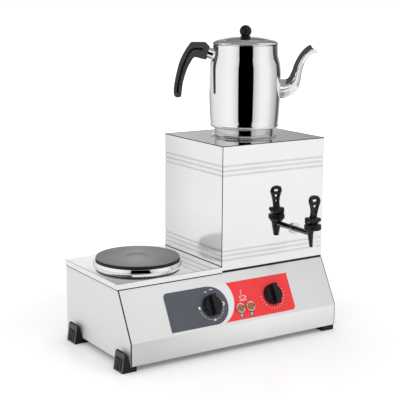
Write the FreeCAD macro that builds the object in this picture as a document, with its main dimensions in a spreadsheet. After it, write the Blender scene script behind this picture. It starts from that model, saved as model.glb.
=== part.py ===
# Tea urn: a wide casing with a cast hotplate on the left and a square water tank on the right.
# A teapot stands on the steam collar of the tank. Millimetres, +Z up, +Y to the back.
# The origin is the middle of the casing's footprint on the worktop.
import FreeCAD, Part
import Sketcher
import math
import os

os.makedirs("parts", exist_ok=True)
doc = FreeCAD.newDocument("tea_urn")
sheet = doc.addObject("Spreadsheet::Sheet", "sizes")

# Driving dimensions, in millimetres unless the name says otherwise
driving = {
    "case_width": 520,
    "case_depth": 285,
    "case_height": 145.6,
    "foot_gap": 12,
    "front_rise": 46.7,
    "slope_setback": 53,
    "sheet_metal": 1,
    "flange_width": 14,
    "panel_gap": 0.3,
    "screw_radius": 1.75,
    "screw_hole_gap": 0.1,
    "screw_head_radius": 3.5,
    "screw_head_height": 2,
    "screw_inset": 25,
    "vent_width": 4,
    "vent_length": 34,
    "vent_pitch": 12,
    "vent_count": 10,
    "cover_height": 12.3,
    "cover_overhang": 2.5,
    "cover_flange": 8,
    "plate_x": -142,
    "plate_y": 37,
    "plate_radius": 90,
    "plate_above_cover": 14.6,
    "plate_recess_radius": 28,
    "plate_recess_depth": 1.2,
    "plate_skirt_radius": 80,
    "plate_skirt_drop": 6,
    "coil_channel_depth": 9,
    "coil_channel_inner": 34,
    "coil_channel_wall": 6,
    "coil_tube_radius": 3,
    "coil_inner_radius": 46,
    "coil_outer_radius": 63,
    "rim_radius": 96,
    "rim_height": 7.5,
    "rim_lean": 5.2,
    "rim_metal": 0.8,
    "collar_metal": 1,
    "hob_hole_radius": 84,
    "stud_radius": 4,
    "stud_drop": 30,
    "clamp_length": 192,
    "clamp_width": 25,
    "clamp_metal": 3,
    "nut_radius": 7.5,
    "nut_height": 6.5,
    "tank_width": 270,
    "tank_height": 268.7,
    "tank_wall": 1,
    "bead_width": 4,
    "bead_depth": 0.8,
    "bead_pitch": 9.9,
    "bead_from_top": 52,
    "bead_from_bottom": 34.7,
    "lid_skirt_depth": 12,
    "lid_skirt_gap": 0.8,
    "steam_hole_radius": 60,
    "steam_radius": 65,
    "steam_height": 20,
    "steam_flange_radius": 74,
    "steam_flare_height": 6,
    "steam_lip_radius": 58,
    "plug_hole_radius": 15,
    "plug_radius": 22,
    "plug_height": 9,
    "plug_lock_height": 6,
    "gasket_height": 2,
    "element_radius": 4.2,
    "element_height": 26,
    "element_leg_gap": 15,
    "element_reach": 84,
    "element_half_width": 52,
    "deck_hole_radius": 58,
    "pocket_radius": 4.6,
    "pocket_bore": 3.7,
    "pocket_height": 96,
    "pocket_offset": 42,
    "bulb_radius": 3.2,
    "bulb_length": 70,
    "probe_lead": 40,
    "probe_bend": 12,
    "capillary_radius": 1,
    "cutout_radius": 9,
    "cutout_height": 11,
    "cutout_offset": -40,
    "tap_x": 181,
    "tap_level": 231,
    "tap_reach": 64.5,
    "shank_radius": 6,
    "shank_bore": 4,
    "shank_inside": 16,
    "lock_nut_radius": 12,
    "lock_nut_height": 6,
    "seal_radius": 13,
    "seal_height": 2,
    "rosette_radius": 12.8,
    "rosette_height": 5,
    "spout_drop": 28,
    "spout_tip_radius": 6,
    "spout_top_radius": 12,
    "spout_bore": 4.5,
    "valve_seat_drop": 6,
    "valve_chamber_radius": 8,
    "cone_top": 6,
    "tap_collar_radius": 15,
    "tap_collar_top": 9.5,
    "bonnet_radius": 18.5,
    "bonnet_height": 12.2,
    "bonnet_scallop_radius": 3,
    "bonnet_scallop_count": 10,
    "pivot_above_bonnet": 4.3,
    "pivot_radius": 1.5,
    "lug_radius": 4,
    "lug_inner": 5,
    "lug_thickness": 3,
    "shaft_play": 0.05,
    "part_gap": 0.3,
    "valve_stem_radius": 3.5,
    "valve_travel": 4,
    "stem_head": 1.2,
    "seat_cup_radius": 7,
    "seat_cup_height": 7,
    "spring_wire": 0.6,
    "lever_base_radius": 12.3,
    "lever_base_top": 10,
    "lever_roof": 2,
    "lever_tip": 59.5,
    "lever_stem_width": 13,
    "lever_head_width": 27,
    "lever_thickness": 9,
    "lever_bow": 3,
    "lever_neck": 8,
    "lever_waist_bend": 60,
    "lever_head_height": 16,
    "lever_corner_width": 5,
    "lever_corner_drop": 2.5,
    "lever_corner_bend": 14,
    "lever_tip_bend": 22,
    "lever_slot_height": 5.5,
    "lever_slot_pitch": 12,
    "lever_slot_narrow": 7,
    "lever_slot_step": 3.5,
    "overlay_left": -163,
    "overlay_right": 152,
    "overlay_low": 6,
    "overlay_high": 88.5,
    "overlay_corner": 9,
    "overlay_thickness": 0.5,
    "hob_knob_x": -56,
    "thermostat_x": 101,
    "knob_along": 46.5,
    "knob_radius": 22.5,
    "knob_skirt_height": 6,
    "knob_height": 21,
    "knob_crown_radius": 19,
    "knob_grip_width": 12,
    "knob_grip_fillet": 1.5,
    "shaft_radius": 3,
    "shaft_in_knob": 15,
    "bushing_radius": 5,
    "bushing_length": 8,
    "switch_size": 40,
    "switch_depth": 24,
    "thermostat_depth": 20,
    "lamp_x": 24.4,
    "lamp_pitch": 25.8,
    "lamp_along": 30.5,
    "lamp_bezel_radius": 10.5,
    "lamp_lens_radius": 8,
    "lamp_bezel_height": 5,
    "lamp_body_radius": 6,
    "lamp_body_length": 26,
    "foot_length": 38,
    "foot_toe": 14.2,
    "foot_spread": 18.6,
    "foot_fin_height": 40.5,
    "foot_fin_tip": 13.1,
    "foot_fin_thickness": 5,
    "foot_panel_depth": 1.2,
    "foot_panel_margin": 6,
    "front_foot_inset": 2.5,
    "rear_foot_inset": 35.7,
    "block_foot_width": 31.7,
    "foot_screw_radius": 2.4,
    "foot_screw_head": 4.5,
    "foot_screw_head_height": 3,
    "foot_screw_depth": 8,
    "gland_inset": 55,
    "gland_height": 46,
    "gland_bore": 4,
    "gland_radius": 8,
    "gland_cap_radius": 11,
    "gland_outside": 15,
    "gland_inside": 14,
    "gland_nut_height": 5,
    "terminal_length": 46,
    "terminal_width": 20,
    "terminal_height": 18,
    "terminal_setback": 54.5,
    "pot_turn": 33,
    "pot_wall": 1,
    "pot_base_radius": 70,
    "pot_bead_radius": 75.8,
    "pot_bead_low": 3,
    "pot_bead_high": 5,
    "pot_foot_radius": 74,
    "pot_foot_height": 7,
    "pot_belly_radius": 77.2,
    "pot_belly_height": 96,
    "pot_shoulder_radius": 75.3,
    "pot_shoulder_height": 135,
    "pot_neck_radius": 66,
    "pot_neck_height": 157.5,
    "pot_height": 182,
    "strainer_hole_radius": 2.5,
    "strainer_pitch": 8,
    "spout_root_radius": 22,
    "spout_root_height": 84,
    "spout_mouth_radius": 11.5,
    "spout_mouth_reach": 147.5,
    "spout_mouth_height": 172.5,
    "spout_wall": 1,
    "handle_width": 24,
    "handle_grip": 21,
    "handle_top": 185.5,
    "handle_bottom": 64,
    "handle_reach": 160.5,
    "handle_neck_start": 80.3,
    "ferrule_radius": 12.5,
    "ferrule_tilt": 20,
    "bracket_metal": 1.5,
    "bracket_half_width": 20,
    "pot_lid_radius": 72.8,
    "pot_lid_step_radius": 56,
    "pot_lid_step_height": 6.5,
    "pot_lid_height": 14.4,
    "pot_lid_metal": 1,
    "pot_lid_ring_depth": 12,
    "pot_lid_ring_gap": 0.7,
    "pot_lid_flat_radius": 12,
    "lid_knob_ball": 12.75,
    "lid_knob_neck": 8.4,
    "lid_knob_foot": 11.6,
    "lid_knob_foot_height": 2.2,
    "lid_knob_centre": 13,
    "lid_screw_radius": 2,
    "lid_screw_head": 4.5,
    "lid_screw_depth": 12,
}


class Size:
    # A number with the sheet formula that gives it, so that code and document stay the same

    def __init__(self, value, text=None):
        self.value = float(value)
        self.text = text or f"({value})"

    def join(self, other, sign, value):
        return Size(value, f"({self.text} {sign} {as_size(other).text})")

    def __add__(self, other):
        return self.join(other, "+", self.value + as_size(other).value)

    def __sub__(self, other):
        return self.join(other, "-", self.value - as_size(other).value)

    def __mul__(self, other):
        return self.join(other, "*", self.value * as_size(other).value)

    def __truediv__(self, other):
        return self.join(other, "/", self.value / as_size(other).value)

    def __neg__(self):
        return self * -1

    def __radd__(self, other):
        return as_size(other) + self

    def __rsub__(self, other):
        return as_size(other) - self

    def __rmul__(self, other):
        return as_size(other) * self


def as_size(number):
    return number if isinstance(number, Size) else Size(number)


def root(size):
    return Size(math.sqrt(size.value), f"sqrt({size.text})")


class Sizes:
    pass


s = Sizes()
for row, (name, value) in enumerate(driving.items(), start=1):
    sheet.set(f"A{row}", name)
    sheet.set(f"B{row}", str(value))
    sheet.setAlias(f"B{row}", name)
    setattr(s, name, Size(value, f"sizes.{name}"))
doc.recompute()

# Places that more than one piece uses
case_bottom = s.foot_gap
case_top = s.foot_gap + s.case_height
deck_bottom = case_top - s.sheet_metal
half_width = s.case_width / 2
half_depth = s.case_depth / 2
slope_foot = case_bottom + s.front_rise
slope_rise = s.case_height - s.front_rise
slope_length = root(slope_rise * slope_rise + s.slope_setback * s.slope_setback)
slope_sheet = s.sheet_metal * slope_length / slope_rise
deck_front = s.slope_setback - half_depth
tank_left = half_width - s.tank_width
tank_top = case_top + s.tank_height
tank_x = half_width - s.tank_width / 2
tank_y = (deck_front + half_depth) / 2
cover_top = case_top + s.cover_height
tap_y = deck_front - s.tap_reach
overlay_face = s.overlay_thickness
gland_x = s.gland_inset - half_width
nodes = []


def vector(x, y, z=0):
    return FreeCAD.Vector(x, y, z)


def bind(item, path, size):
    item.setExpression(path, as_size(size).text)


def node(item, label, *where):
    # names a finished sub-part, puts it in its place if one is given, and keeps it for the export
    item.Label = label
    nodes.append(item)
    if where:
        place(item, *where)


def place(item, x, y, z, axis=(0, 0, 1), angle=0):
    places = [as_size(x), as_size(y), as_size(z)]
    turn = FreeCAD.Rotation(vector(*axis), as_size(angle).value)
    item.Placement = FreeCAD.Placement(vector(*[size.value for size in places]), turn)
    for name, size in zip("xyz", places):
        bind(item, f"Placement.Base.{name}", size)


def on_slope(item, label, x, along, lift):
    # local Z stands out of the sloping front; along is measured up the slope from its lower bend
    x, along, lift = as_size(x), as_size(along), as_size(lift)
    y = along * s.slope_setback / slope_length - lift * slope_rise / slope_length - half_depth
    z = slope_foot + along * slope_rise / slope_length + lift * s.slope_setback / slope_length
    angle = math.degrees(math.atan2(slope_rise.value, s.slope_setback.value))
    node(item, label, x, y, z, (1, 0, 0), angle)


def body(name):
    return doc.addObject("PartDesign::Body", name)


def sketch_on(owner, role, offset=0):
    # offset runs along the plane's normal: +Z for XY, -Y for XZ and +X for YZ
    plane = [item for item in owner.Origin.OriginFeatures if item.Role == role][0]
    sketch = owner.newObject("Sketcher::SketchObject", owner.Name + "_sketch")
    sketch.AttachmentSupport = [(plane, "")]
    sketch.MapMode = "FlatFace"
    bind(sketch, "AttachmentOffset.Base.z", offset)
    return sketch


def constrain(sketch, kind, size, *where):
    index = sketch.addConstraint(Sketcher.Constraint(kind, *where, size.value))
    bind(sketch, f"Constraints[{index}]", size)


def arc_between(start, end, radius):
    dx, dy = end[0] - start[0], end[1] - start[1]
    chord = math.hypot(dx, dy)
    away = math.sqrt(max(radius * radius - chord * chord / 4, 0)) * math.copysign(1, radius)
    centre = ((start[0] + end[0]) / 2 - away * dy / chord, (start[1] + end[1]) / 2 + away * dx / chord)
    first = math.atan2(start[1] - centre[1], start[0] - centre[0])
    last = math.atan2(end[1] - centre[1], end[0] - centre[0])
    if radius < 0:
        first, last = last, first
    return Part.ArcOfCircle(Part.Circle(vector(*centre), vector(0, 0, 1), abs(radius)), first, last)


def outline(sketch, points):
    # A closed outline. A third value is the radius of the arc to the next point, below 0 for a
    # clockwise arc.
    first = sketch.GeometryCount
    count = len(points)
    corners = [(as_size(point[0]), as_size(point[1])) for point in points]
    bends = [as_size(point[2]) if len(point) > 2 else None for point in points]
    for index in range(count):
        start = tuple(size.value for size in corners[index])
        end = tuple(size.value for size in corners[(index + 1) % count])
        if bends[index]:
            sketch.addGeometry(arc_between(start, end, bends[index].value))
        else:
            sketch.addGeometry(Part.LineSegment(vector(*start), vector(*end)))
    for index in range(count):
        after = (index + 1) % count
        clockwise = bends[index] and bends[index].value < 0
        next_clockwise = bends[after] and bends[after].value < 0
        start, end = (2, 1) if clockwise else (1, 2)
        next_start = 2 if next_clockwise else 1
        sketch.addConstraint(
            Sketcher.Constraint("Coincident", first + index, end, first + after, next_start))
        constrain(sketch, "DistanceX", corners[index][0], -1, 1, first + index, start)
        constrain(sketch, "DistanceY", corners[index][1], -1, 1, first + index, start)
    for index, bend in enumerate(bends):
        if bend:
            constrain(sketch, "Radius", bend if bend.value > 0 else -bend, first + index)


def rectangle(sketch, left, low, right, high):
    outline(sketch, [(left, low), (right, low), (right, high), (left, high)])


def circle(sketch, x, y, radius):
    x, y, radius = as_size(x), as_size(y), as_size(radius)
    index = sketch.addGeometry(Part.Circle(vector(x.value, y.value), vector(0, 0, 1), radius.value))
    constrain(sketch, "DistanceX", x, -1, 1, index, 3)
    constrain(sketch, "DistanceY", y, -1, 1, index, 3)
    constrain(sketch, "Radius", radius, index)


def pad(owner, sketch, length, both_ways=False):
    feature = owner.newObject("PartDesign::Pad", owner.Name + "_pad")
    feature.Profile = sketch
    bind(feature, "Length", length)
    if both_ways:
        feature.SideType = "Symmetric"
    doc.recompute()
    return feature


def round_edges(owner, feature, radius, chosen):
    names = []
    for number, edge in enumerate(feature.Shape.Edges, start=1):
        if chosen(edge):
            names.append(f"Edge{number}")
    rounding = owner.newObject("PartDesign::Fillet", owner.Name + "_rounding")
    rounding.Base = (feature, names)
    bind(rounding, "Radius", radius)
    owner.Tip = rounding
    doc.recompute()


def turned(name, points):
    # a body of revolution about the local Z axis from (radius, height) points
    owner = body(name)
    sketch = sketch_on(owner, "XZ_Plane")
    outline(sketch, points)
    feature = owner.newObject("PartDesign::Revolution", name + "_turn")
    feature.Profile = sketch
    feature.ReferenceAxis = (sketch, ["V_Axis"])
    feature.Angle = 360
    doc.recompute()
    return owner


def ring(name, inner, outer, low, high):
    return turned(name, [(inner, low), (outer, low), (outer, high), (inner, high)])


def box(name, low, high):
    item = doc.addObject("Part::Box", name)
    for path, start, end in zip(("Length", "Width", "Height"), low, high):
        bind(item, path, as_size(end) - start)
    place(item, *low)
    return item


def rod(name, radius, length, x=0, y=0, z=0, axis=(0, 0, 1), angle=0):
    item = doc.addObject("Part::Cylinder", name)
    bind(item, "Radius", radius)
    bind(item, "Height", length)
    place(item, x, y, z, axis, angle)
    return item


def hexagon(name, across_corners, height, x=0, y=0, z=0, axis=(0, 0, 1), angle=0):
    item = doc.addObject("Part::Prism", name)
    item.Polygon = 6
    bind(item, "Circumradius", across_corners)
    bind(item, "Height", height)
    place(item, x, y, z, axis, angle)
    return item


def cut(name, base, *tools):
    for number, tool in enumerate(tools):
        item = doc.addObject("Part::Cut", f"{name}_{number}")
        item.Base = base
        item.Tool = tool
        base = item
    doc.recompute()
    return base


def fuse(name, *pieces):
    item = doc.addObject("Part::MultiFuse", name)
    item.Shapes = list(pieces)
    doc.recompute()
    return item


def group(name, *pieces):
    # separate solids that share one sub-part
    item = doc.addObject("Part::Compound", name)
    item.Links = list(pieces)
    doc.recompute()
    return item


def bend_radius(height, depth):
    # radius of the arc that starts along the axis and moves depth sideways over height
    height = as_size(height)
    return (height * height + depth * depth) / (2 * depth)


def swept_tube(name, points, radius, bend):
    # a round bar along straight runs joined by arcs of one radius
    edges = []
    start = points[0]
    for index in range(1, len(points) - 1):
        before = (points[index - 1] - points[index]).normalize()
        after = (points[index + 1] - points[index]).normalize()
        half = before.getAngle(after) / 2
        reach = bend / math.tan(half)
        inward = (before + after).normalize()
        enter = points[index] + before * reach
        leave = points[index] + after * reach
        middle = points[index] + inward * (bend / math.sin(half) - bend)
        edges.append(Part.makeLine(start, enter))
        edges.append(Part.Arc(enter, middle, leave).toShape())
        start = leave
    edges.append(Part.makeLine(start, points[-1]))
    path = Part.Wire(edges)
    section = Part.Wire(Part.makeCircle(radius, points[0], points[1] - points[0]))
    item = doc.addObject("Part::Feature", name)
    item.Shape = path.makePipeShell([section], True, True)
    return item


def make_casing():
    # Sheet panels: two sides, a bent front, a back, a bottom and the deck that carries the rest
    sheet_metal = s.sheet_metal
    inner_x = half_width - sheet_metal
    deck_lip = s.slope_setback * (slope_rise - sheet_metal) / slope_rise - half_depth
    screw_heights = [case_bottom + s.screw_inset, deck_bottom - s.screw_inset]
    screw_x = inner_x - s.flange_width / 2
    hole_radius = s.screw_radius + s.screw_hole_gap
    for side, label in ((-1, "left_side_panel"), (1, "right_side_panel")):
        panel = body(label)
        plate = sketch_on(panel, "YZ_Plane", -half_width if side < 0 else inner_x)
        outline(plate, [
            (-half_depth, case_bottom), (half_depth, case_bottom), (half_depth, deck_bottom),
            (deck_lip, deck_bottom), (-half_depth, slope_foot)])
        pad(panel, plate, sheet_metal)
        flange = sketch_on(panel, "XZ_Plane", sheet_metal - half_depth)
        edge, tip = side * inner_x, side * (inner_x - s.flange_width)
        rectangle(flange, edge if side < 0 else tip, case_bottom + sheet_metal,
                  tip if side < 0 else edge, deck_bottom)
        for height in screw_heights:
            circle(flange, side * screw_x, height, hole_radius)
        pad(panel, flange, sheet_metal)
        node(panel, label)

    front = body("front_blank")
    profile = sketch_on(front, "YZ_Plane", -inner_x)
    inner_bend = slope_foot - sheet_metal * (slope_length - slope_rise) / s.slope_setback
    outline(profile, [
        (-half_depth, case_bottom), (sheet_metal - half_depth, case_bottom),
        (sheet_metal - half_depth, inner_bend), (deck_lip + slope_sheet, deck_bottom),
        (deck_lip, deck_bottom), (-half_depth, slope_foot)])
    pad(front, profile, inner_x * 2)
    holes = []
    knob_places = (s.hob_knob_x, s.thermostat_x)
    lamp_places = (s.lamp_x - s.lamp_pitch / 2, s.lamp_x + s.lamp_pitch / 2)
    for x in knob_places:
        holes.append((x, s.knob_along, s.bushing_radius + s.screw_hole_gap))
    for x in lamp_places:
        holes.append((x, s.lamp_along, s.lamp_body_radius + s.screw_hole_gap))
    tools = []
    for number, (x, along, radius) in enumerate(holes):
        tool = rod(f"front_hole_{number}", radius, sheet_metal * 6)
        angle = math.degrees(math.atan2(slope_rise.value, s.slope_setback.value))
        drop = sheet_metal * 3
        place(tool, x, along * s.slope_setback / slope_length + drop * slope_rise / slope_length
              - half_depth, slope_foot + along * slope_rise / slope_length
              - drop * s.slope_setback / slope_length, (1, 0, 0), angle)
        tools.append(tool)
    node(cut("front_panel", front, *tools), "front_panel")

    rear = body("rear_panel")
    face = sketch_on(rear, "XZ_Plane", -half_depth)
    rectangle(face, -inner_x, case_bottom, inner_x, deck_bottom)
    circle(face, gland_x, s.gland_height, s.gland_radius)
    for side in (-1, 1):
        for height in screw_heights:
            circle(face, side * screw_x, height, hole_radius)
    vent_low = case_bottom + s.case_height / 2 - s.vent_length / 2
    vent_count = int(s.vent_count.value)
    for number in range(vent_count):
        left = s.vent_pitch * number
        rectangle(face, left, vent_low, left + s.vent_width, vent_low + s.vent_length)
    pad(rear, face, sheet_metal)
    node(rear, "rear_panel")

    bottom = body("base_plate")
    floor = sketch_on(bottom, "XY_Plane", case_bottom)
    inner_y = half_depth - sheet_metal
    rectangle(floor, -inner_x, -inner_y, inner_x, inner_y)
    for x, y in foot_screw_places():
        circle(floor, x, y, s.foot_screw_radius + s.screw_hole_gap)
    for number in range(vent_count):
        left = s.vent_pitch * (number - vent_count // 2)
        rectangle(floor, left, -s.vent_length / 2, left + s.vent_width, s.vent_length / 2)
    pad(bottom, floor, sheet_metal)
    node(bottom, "base_plate")

    deck = body("deck_plate")
    top = sketch_on(deck, "XY_Plane", deck_bottom)
    rectangle(top, -half_width, deck_lip, half_width, half_depth)
    circle(top, s.plate_x, s.plate_y, s.hob_hole_radius)
    circle(top, tank_x, tank_y, s.deck_hole_radius)
    pad(deck, top, sheet_metal)
    node(deck, "deck_plate")

    screws = []
    for side in (-1, 1):
        for number, height in enumerate(screw_heights):
            name = f"panel_screw_{side + 1}_{number}"
            shank = rod(name, s.screw_radius, s.flange_width / 2, side * screw_x, half_depth, height,
                        (1, 0, 0), 90)
            head = rod(name + "_head", s.screw_head_radius, s.screw_head_height, side * screw_x,
                       half_depth + s.screw_head_height, height, (1, 0, 0), 90)
            screws.append(fuse(name + "_whole", shank, head))
    node(group("panel_screws", *screws), "panel_screws")


def foot_screw_places():
    # the left feet have a fin beside the panel, the right feet stand wholly under the casing
    left_x = s.foot_toe / 2 + s.sheet_metal - half_width
    right_x = half_width - s.block_foot_width / 2
    front_y = s.front_foot_inset + s.foot_length / 2 - half_depth
    rear_y = half_depth - s.rear_foot_inset - s.foot_length / 2
    return [(left_x, front_y), (left_x, rear_y), (right_x, front_y), (right_x, rear_y)]


def make_feet():
    bore = s.foot_screw_radius + s.screw_hole_gap
    blind = s.foot_screw_depth + s.panel_gap
    left_feet = []
    right_feet = []
    for number, (x, y) in enumerate(foot_screw_places()):
        hole = rod(f"foot_hole_{number}", bore, blind, x, y, case_bottom - blind)
        if number < 2:
            moulding = body(f"fin_foot_{number}")
            profile = sketch_on(moulding, "XZ_Plane", -s.foot_length / 2 - y)
            tip = s.foot_fin_tip
            inner_tip = tip - s.foot_fin_thickness
            edge = -half_width
            outline(profile, [
                (edge - s.foot_spread, 0), (edge + s.foot_toe, 0), (edge + s.foot_toe, case_bottom),
                (edge - s.panel_gap, case_bottom), (edge - inner_tip / 2, s.foot_fin_height * 0.7),
                (edge - inner_tip, s.foot_fin_height), (edge - tip, s.foot_fin_height - 1.5)])
            pad(moulding, profile, s.foot_length)
            lean = math.degrees(math.atan2((s.foot_spread - tip).value, s.foot_fin_height.value))
            margin = s.foot_panel_margin
            panel = box(f"foot_panel_{number}",
                        (edge - s.foot_spread - s.foot_spread, y - s.foot_length / 2 + margin, margin),
                        (edge - s.foot_spread + s.foot_panel_depth, y + s.foot_length / 2 - margin,
                         s.foot_fin_height - margin * 1.5))
            place(panel, edge - s.foot_spread * 2 + s.foot_panel_depth,
                  y - s.foot_length / 2 + margin, margin, (0, 1, 0), lean)
            bind(panel, "Length", s.foot_spread)
            left_feet.append(cut(f"left_foot_{number}", moulding, hole, panel))
        else:
            block = box(f"block_foot_{number}", (half_width - s.block_foot_width, y - s.foot_length / 2, 0),
                        (half_width - s.panel_gap, y + s.foot_length / 2, case_bottom))
            right_feet.append(cut(f"right_foot_{number}", block, hole))
    node(left_feet[0], "foot_front_left")
    node(left_feet[1], "foot_rear_left")
    node(group("feet_right", *right_feet), "feet_right")

    screws = []
    plate_top_face = case_bottom + s.sheet_metal
    for number, (x, y) in enumerate(foot_screw_places()):
        name = f"foot_screw_{number}"
        shank = rod(name, s.foot_screw_radius, s.foot_screw_depth + s.sheet_metal, x, y,
                    case_bottom - s.foot_screw_depth)
        head = rod(name + "_head", s.foot_screw_head, s.foot_screw_head_height, x, y, plate_top_face)
        screws.append(fuse(name + "_whole", shank, head))
    node(group("foot_screws", *screws), "foot_screws")


def make_hob():
    # The inverted tray on the deck and the cast plate in its spill rim, clamped to the deck
    metal = s.sheet_metal
    left = -half_width - s.cover_overhang
    front = deck_front - s.cover_overhang
    shell = box("cover_outer", (left, front, case_top), (tank_left, half_depth, cover_top))
    room = box("cover_room", (left + metal, front + metal, case_top + metal),
               (tank_left - metal, half_depth - metal, cover_top - metal))
    mouth = box("cover_mouth", (left + s.cover_flange, front + s.cover_flange, case_top - metal),
                (tank_left - s.cover_flange, half_depth - s.cover_flange, case_top + metal * 2))
    well = rod("cover_hole", s.hob_hole_radius, s.cover_height * 2, s.plate_x, s.plate_y,
               case_top)
    tray = cut("cover_tray", shell, room, mouth, well)
    neck = ring("cover_neck", s.hob_hole_radius, s.hob_hole_radius + s.collar_metal,
                case_top, cover_top - metal)
    place(neck, s.plate_x, s.plate_y, 0)
    node(fuse("cover_whole", tray, neck), "hob_cover")

    low = s.rim_metal
    high = s.plate_above_cover
    under = -s.plate_skirt_drop
    channel = under + s.coil_channel_depth
    casting = turned("casting", [
        (0, under), (s.coil_channel_inner, under), (s.coil_channel_inner, channel),
        (s.plate_skirt_radius - s.coil_channel_wall, channel),
        (s.plate_skirt_radius - s.coil_channel_wall, under), (s.plate_skirt_radius, under),
        (s.plate_skirt_radius, low), (s.plate_radius, low), (s.plate_radius, high - 1),
        (s.plate_radius - 1, high), (s.plate_recess_radius + 1, high),
        (s.plate_recess_radius, high - s.plate_recess_depth), (0, high - s.plate_recess_depth)])
    node(casting, "hotplate_casting", s.plate_x, s.plate_y, cover_top)

    inner = s.plate_skirt_radius + s.panel_gap
    lean_radius = bend_radius(s.rim_height, s.rim_lean)
    rim = turned("rim", [
        (inner, 0), (s.rim_radius, 0, lean_radius), (s.rim_radius - s.rim_lean, s.rim_height),
        (s.rim_radius - s.rim_lean - low, s.rim_height, -lean_radius),
        (s.rim_radius - low, low), (inner, low)])
    node(rim, "hotplate_rim", s.plate_x, s.plate_y, cover_top)

    coils = []
    for number, radius in enumerate((s.coil_inner_radius, s.coil_outer_radius)):
        coil = doc.addObject("Part::Torus", f"coil_{number}")
        bind(coil, "Radius1", radius)
        bind(coil, "Radius2", s.coil_tube_radius)
        place(coil, s.plate_x, s.plate_y, cover_top + channel - s.coil_tube_radius)
        coils.append(coil)
    node(group("coils", *coils), "hotplate_coils")

    pan = ring("pan", s.stud_radius * 2, s.plate_skirt_radius, under - metal, under)
    node(pan, "hotplate_base_pan", s.plate_x, s.plate_y, cover_top)

    stud_low = deck_bottom - s.clamp_metal - s.nut_height - s.stud_radius
    stud = rod("stud", s.stud_radius, cover_top + under - stud_low, s.plate_x, s.plate_y, stud_low)
    nut_low = deck_bottom - s.clamp_metal - s.nut_height
    nut_body = hexagon("stud_nut", s.nut_radius, s.nut_height, s.plate_x, s.plate_y, nut_low)
    nut_hole = rod("nut_hole", s.stud_radius, s.nut_height * 2, s.plate_x, s.plate_y,
                   nut_low - s.nut_height / 2)
    node(group("fixing", stud, cut("nut", nut_body, nut_hole)), "hotplate_fixing")
    bar = box("bar", (s.plate_x - s.clamp_width / 2, s.plate_y - s.clamp_length / 2,
                      deck_bottom - s.clamp_metal),
              (s.plate_x + s.clamp_width / 2, s.plate_y + s.clamp_length / 2, deck_bottom))
    bar_hole = rod("bar_hole", s.stud_radius, s.clamp_metal * 3, s.plate_x, s.plate_y,
                   deck_bottom - s.clamp_metal * 2)
    node(cut("clamp", bar, bar_hole), "hotplate_clamp")

    block_x = s.plate_x + s.coil_inner_radius
    half = s.terminal_width / 2
    block_top = cover_top + under - metal
    block = box("ceramic", (block_x - half, s.plate_y - half, block_top - half),
                (block_x + half, s.plate_y + half, block_top))
    node(block, "hotplate_terminals")


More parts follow.
